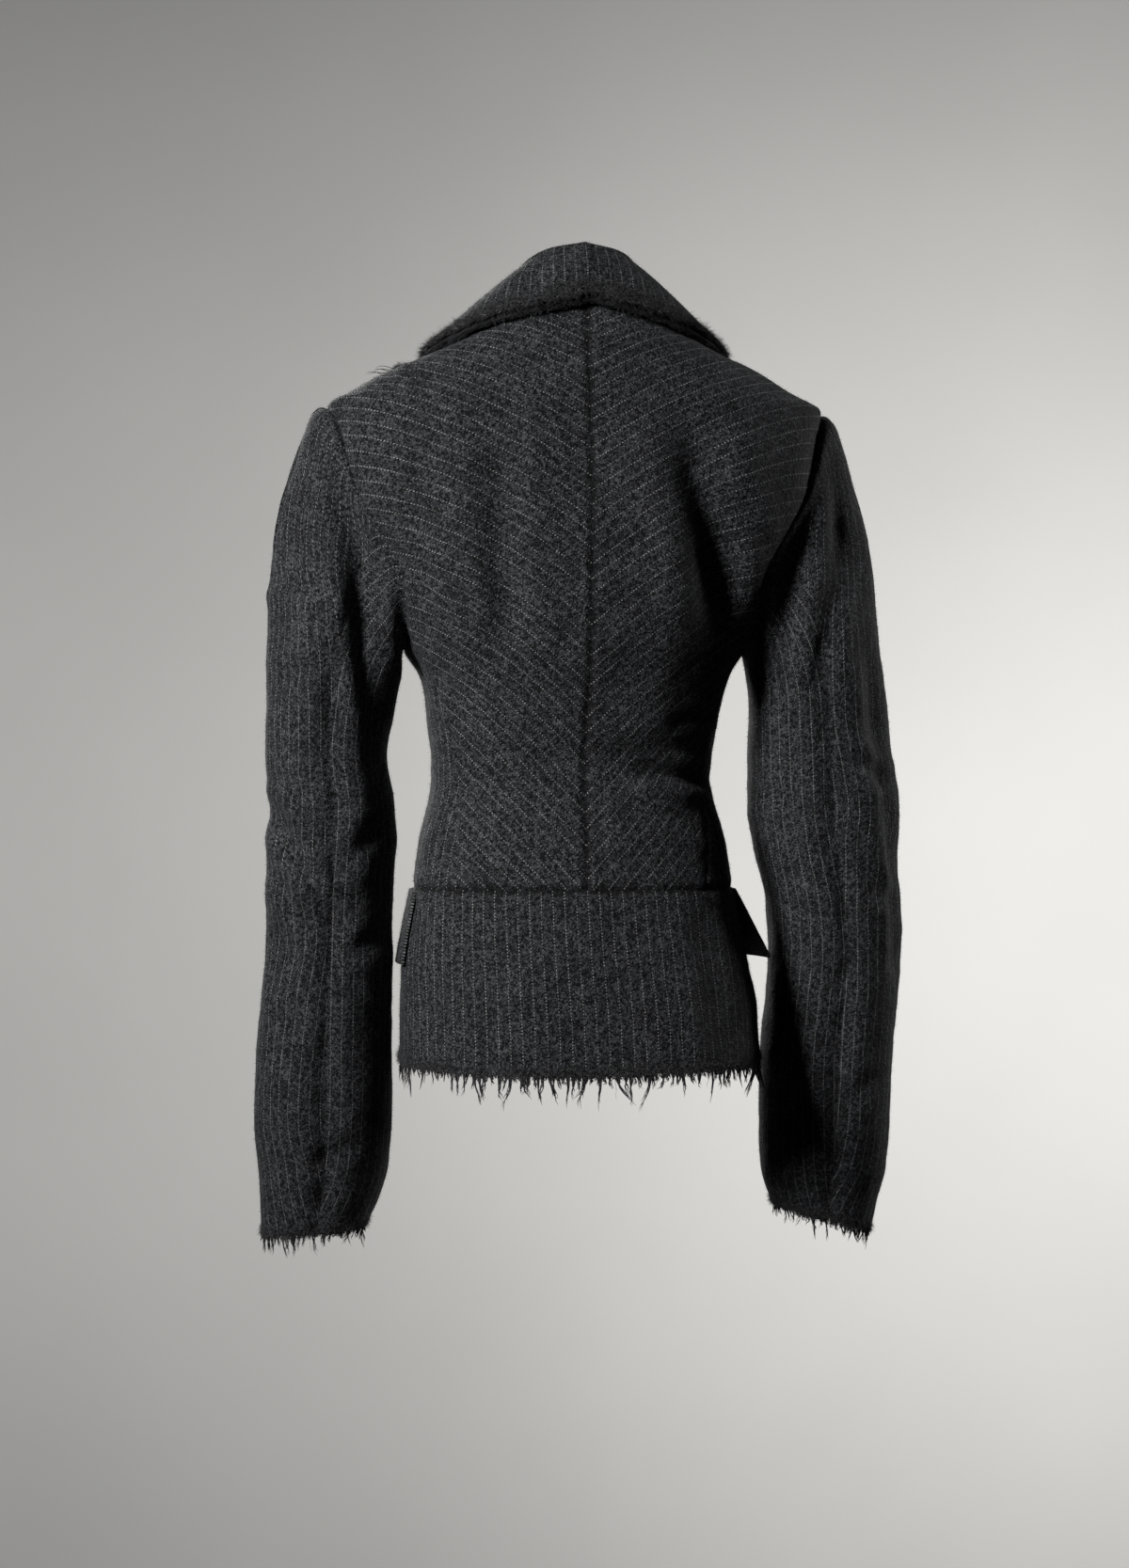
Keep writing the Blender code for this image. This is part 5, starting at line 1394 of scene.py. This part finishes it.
# %% Group: heather
def make_heather_group():
    """Speckle of spun fibres, slow clouds, and the height of the nap."""
    tree, start, end = new_group("heather", [
        ("Place", "Vector", None), ("Cloth", "Vector", None), ("Grain Scale", "Float", 820.0)],
        [("Grain", "Float"), ("Cloud", "Float"), ("Height", "Float")])
    fine = node(tree, "TexNoise", {"Vector": start.outputs["Place"], "Scale": start.outputs["Grain Scale"],
                                   "Detail": 2.5, "Roughness": 0.65})
    wide = math_node(tree, "MULTIPLY", start.outputs["Grain Scale"], 0.40)
    tufts = node(tree, "TexNoise", {"Vector": start.outputs["Place"], "Scale": wide, "Detail": 2.0})
    stretch = node(tree, "VectorMath", {0: start.outputs["Cloth"], 1: (1.0, 0.32, 1.0)}, operation="MULTIPLY")
    fibre = node(tree, "TexNoise", {"Vector": stretch.outputs[0], "Scale": 1400.0, "Detail": 1.0})
    mixed = math_node(tree, "ADD", math_node(tree, "MULTIPLY", fine.outputs[0], 0.51),
                      math_node(tree, "MULTIPLY", tufts.outputs[0], 0.29))
    mixed = math_node(tree, "ADD", mixed, math_node(tree, "MULTIPLY", fibre.outputs[0], 0.20))
    grain = ramp(tree, mixed, 0.465, 0.61, shape="LINEAR")
    slow = node(tree, "TexNoise", {"Vector": start.outputs["Place"], "Scale": 46.0, "Detail": 3.5,
                                   "Roughness": 0.7})
    height = math_node(tree, "ADD", math_node(tree, "MULTIPLY", tufts.outputs[0], 0.6), mixed)
    tree.links.new(grain, end.inputs["Grain"])
    tree.links.new(ramp(tree, slow.outputs[0], 0.3, 0.7, shape="LINEAR"), end.inputs["Cloud"])
    tree.links.new(height, end.inputs["Height"])
    return tree


HEATHER = make_heather_group()
print("groups:", [g.name for g in bpy.data.node_groups])


# %% Cloth material
def mix_colour(tree, factor, low, high, blend="MIX"):
    made = node(tree, "Mix", data_type="RGBA", blend_type=blend)
    for key, value in ((0, factor), (6, low), (7, high)):
        if isinstance(value, bpy.types.NodeSocket):
            tree.links.new(value, made.inputs[key])
        else:
            made.inputs[key].default_value = value
    return made.outputs[2]


def flannel(name, dark, pale, stripe, stripe_share=1.0):
    """Heathered wool cloth with dotted stripes."""
    made = bpy.data.materials.new(name)
    made.use_nodes = True
    tree = made.node_tree
    shader = tree.nodes["Principled BSDF"]
    cloth = node(tree, "UVMap", uv_map="cloth").outputs[0]
    edge = node(tree, "SeparateXYZ", {0: node(tree, "UVMap", uv_map="edge").outputs[0]})
    place = node(tree, "TexCoord").outputs["Object"]
    heather = node(tree, "Group", node_tree=HEATHER)
    tree.links.new(place, heather.inputs["Place"])
    tree.links.new(cloth, heather.inputs["Cloth"])
    dots = node(tree, "Group", node_tree=STRIPE)
    tree.links.new(cloth, dots.inputs["Cloth"])
    tree.links.new(edge.outputs[0], dots.inputs["Raw Distance"])
    base = mix_colour(tree, heather.outputs["Grain"], dark, pale)
    cloudy = ramp(tree, heather.outputs["Cloud"], 0.0, 1.0, 0.60, 1.38, "LINEAR")
    # Painted shade: towards each seam the cloth's colour is darkened to 0.30 at the seam line. This stands in
    # for the shadow in the seam's groove. The slow clouds are random tone of the cloth.
    painted_seam_shade = ramp(tree, edge.outputs[1], 0.0005, 0.0055, 0.30, 1.0)
    shade = math_node(tree, "MULTIPLY", cloudy, painted_seam_shade)
    base = mix_colour(tree, 1.0, base, node(tree, "CombineColor", {0: shade, 1: shade, 2: shade}).outputs[0],
                      "MULTIPLY")
    worn = math_node(tree, "MULTIPLY", dots.outputs["Mask"], stripe_share)
    tree.links.new(mix_colour(tree, worn, base, stripe), shader.inputs["Base Color"])
    rough = ramp(tree, heather.outputs["Grain"], 0.0, 1.0, 0.84, 0.98, "LINEAR")
    tree.links.new(rough, shader.inputs["Roughness"])
    raised = math_node(tree, "MULTIPLY", dots.outputs["Mask"], 0.5)
    height = math_node(tree, "ADD", heather.outputs["Height"], raised)
    bump = node(tree, "Bump", {"Height": height, "Strength": 1.0, "Distance": 0.0015})
    tree.links.new(bump.outputs[0], shader.inputs["Normal"])
    shader.inputs["Specular IOR Level"].default_value = 0.18
    shader.inputs["Sheen Weight"].default_value = 0.03
    shader.inputs["Sheen Roughness"].default_value = 0.6
    shader.inputs["Sheen Tint"].default_value = (0.75, 0.78, 0.85, 1.0)
    return made


WOOL = flannel("charcoal flannel", (0.0014, 0.0015, 0.0019, 1.0), (0.098, 0.102, 0.112, 1.0),
               (0.50, 0.51, 0.51, 1.0))
# The under layer is the same flannel made darker and with faint stripes. This is painted shade for the shadow
# under the collar's edge.
UNDER_LAYER_IN_PAINTED_SHADE = flannel("under layer flannel in painted shade", (0.004, 0.004, 0.0045, 1.0), (0.03, 0.031, 0.034, 1.0),
                (0.2, 0.2, 0.2, 1.0), stripe_share=0.2)
for name, piece in PIECES.items():
    piece["object"].data.materials.append(UNDER_LAYER_IN_PAINTED_SHADE if name == "under_layer" else WOOL)
print("cloth pieces with wool:", len(PIECES))


# %% Fibre, thread and horn
def fibre_material(name, dark, pale, scale, roughness):
    """Loose fibre whose shade changes from hair to hair."""
    made = bpy.data.materials.new(name)
    made.use_nodes = True
    tree = made.node_tree
    shader = tree.nodes["Principled BSDF"]
    place = node(tree, "TexCoord").outputs["Object"]
    speck = node(tree, "TexNoise", {"Vector": place, "Scale": scale, "Detail": 2.0})
    share = ramp(tree, speck.outputs[0], 0.36, 0.64, shape="LINEAR")
    tree.links.new(mix_colour(tree, share, dark, pale), shader.inputs["Base Color"])
    rough = ramp(tree, share, 0.0, 1.0, roughness - 0.1, roughness, "LINEAR")
    tree.links.new(rough, shader.inputs["Roughness"])
    shader.inputs["Specular IOR Level"].default_value = 0.2
    return made


FIBRE = fibre_material("wool fibre", (0.005, 0.005, 0.006, 1.0), (0.062, 0.065, 0.072, 1.0), 620.0, 0.95)
EDGE_FIBRE = fibre_material("torn edge fibre", (0.008, 0.008, 0.009, 1.0), (0.125, 0.125, 0.125, 1.0),
                            620.0, 0.95)
LOCK_YARN = fibre_material("charcoal yarn", (0.010, 0.010, 0.012, 1.0), (0.060, 0.061, 0.066, 1.0),
                           700.0, 0.92)
WHITE_YARN = fibre_material("off-white yarn", (0.22, 0.22, 0.21, 1.0), (0.62, 0.61, 0.58, 1.0), 500.0, 0.85)
SEWING = fibre_material("sewing thread", (0.012, 0.012, 0.014, 1.0), (0.045, 0.046, 0.05, 1.0), 1600.0, 0.75)
HORN = fibre_material("dark horn", (0.010, 0.007, 0.005, 1.0), (0.055, 0.040, 0.030, 1.0), 160.0, 0.42)
WEARS = [
    (EDGE_FIBRE, [made for made in FUZZ if "edge" in made.name]),
    (FIBRE, [made for made in FUZZ if "edge" not in made.name]),
    (LOCK_YARN, [hem_locks, collar_locks, stray] + [pair[0] for pair in CUFF_PIECES.values()]),
    (WHITE_YARN, [hem_white, collar_white] + [pair[1] for pair in CUFF_PIECES.values()]),
    (SEWING, BUTTON_THREADS + [buttonholes]),
    (HORN, BUTTONS),
]
for material, wearers in WEARS:
    for made in wearers:
        made.data.materials.append(material)
print("materials:", len(bpy.data.materials))

# %% Paint for the room
paint = bpy.data.materials.new("pale wall paint")
paint.use_nodes = True
tree = paint.node_tree
shader = tree.nodes["Principled BSDF"]
place = node(tree, "TexCoord").outputs["Object"]
spots = node(tree, "TexNoise", {"Vector": place, "Scale": 1.6, "Detail": 3.0})
tree.links.new(mix_colour(tree, spots.outputs[0], (0.70, 0.70, 0.69, 1.0), (0.80, 0.80, 0.79, 1.0)),
               shader.inputs["Base Color"])
shader.inputs["Roughness"].default_value = 0.9
room.data.materials.append(paint)

# %% [markdown]
# ## Triangles
# Every cloth piece keeps the flat size of its sheet, measured on the finished shell, so it stays true
# if a fold changes. Here the triangles of all new meshes are counted.

# %% Count the triangles
triangles = {o.name: sum(len(p.vertices) - 2 for p in o.data.polygons)
             for o in bpy.data.objects if o.type == "MESH" and o.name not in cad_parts}
print("triangles in all:", sum(triangles.values()), "largest:", max(triangles.items(), key=lambda kv: kv[1]))
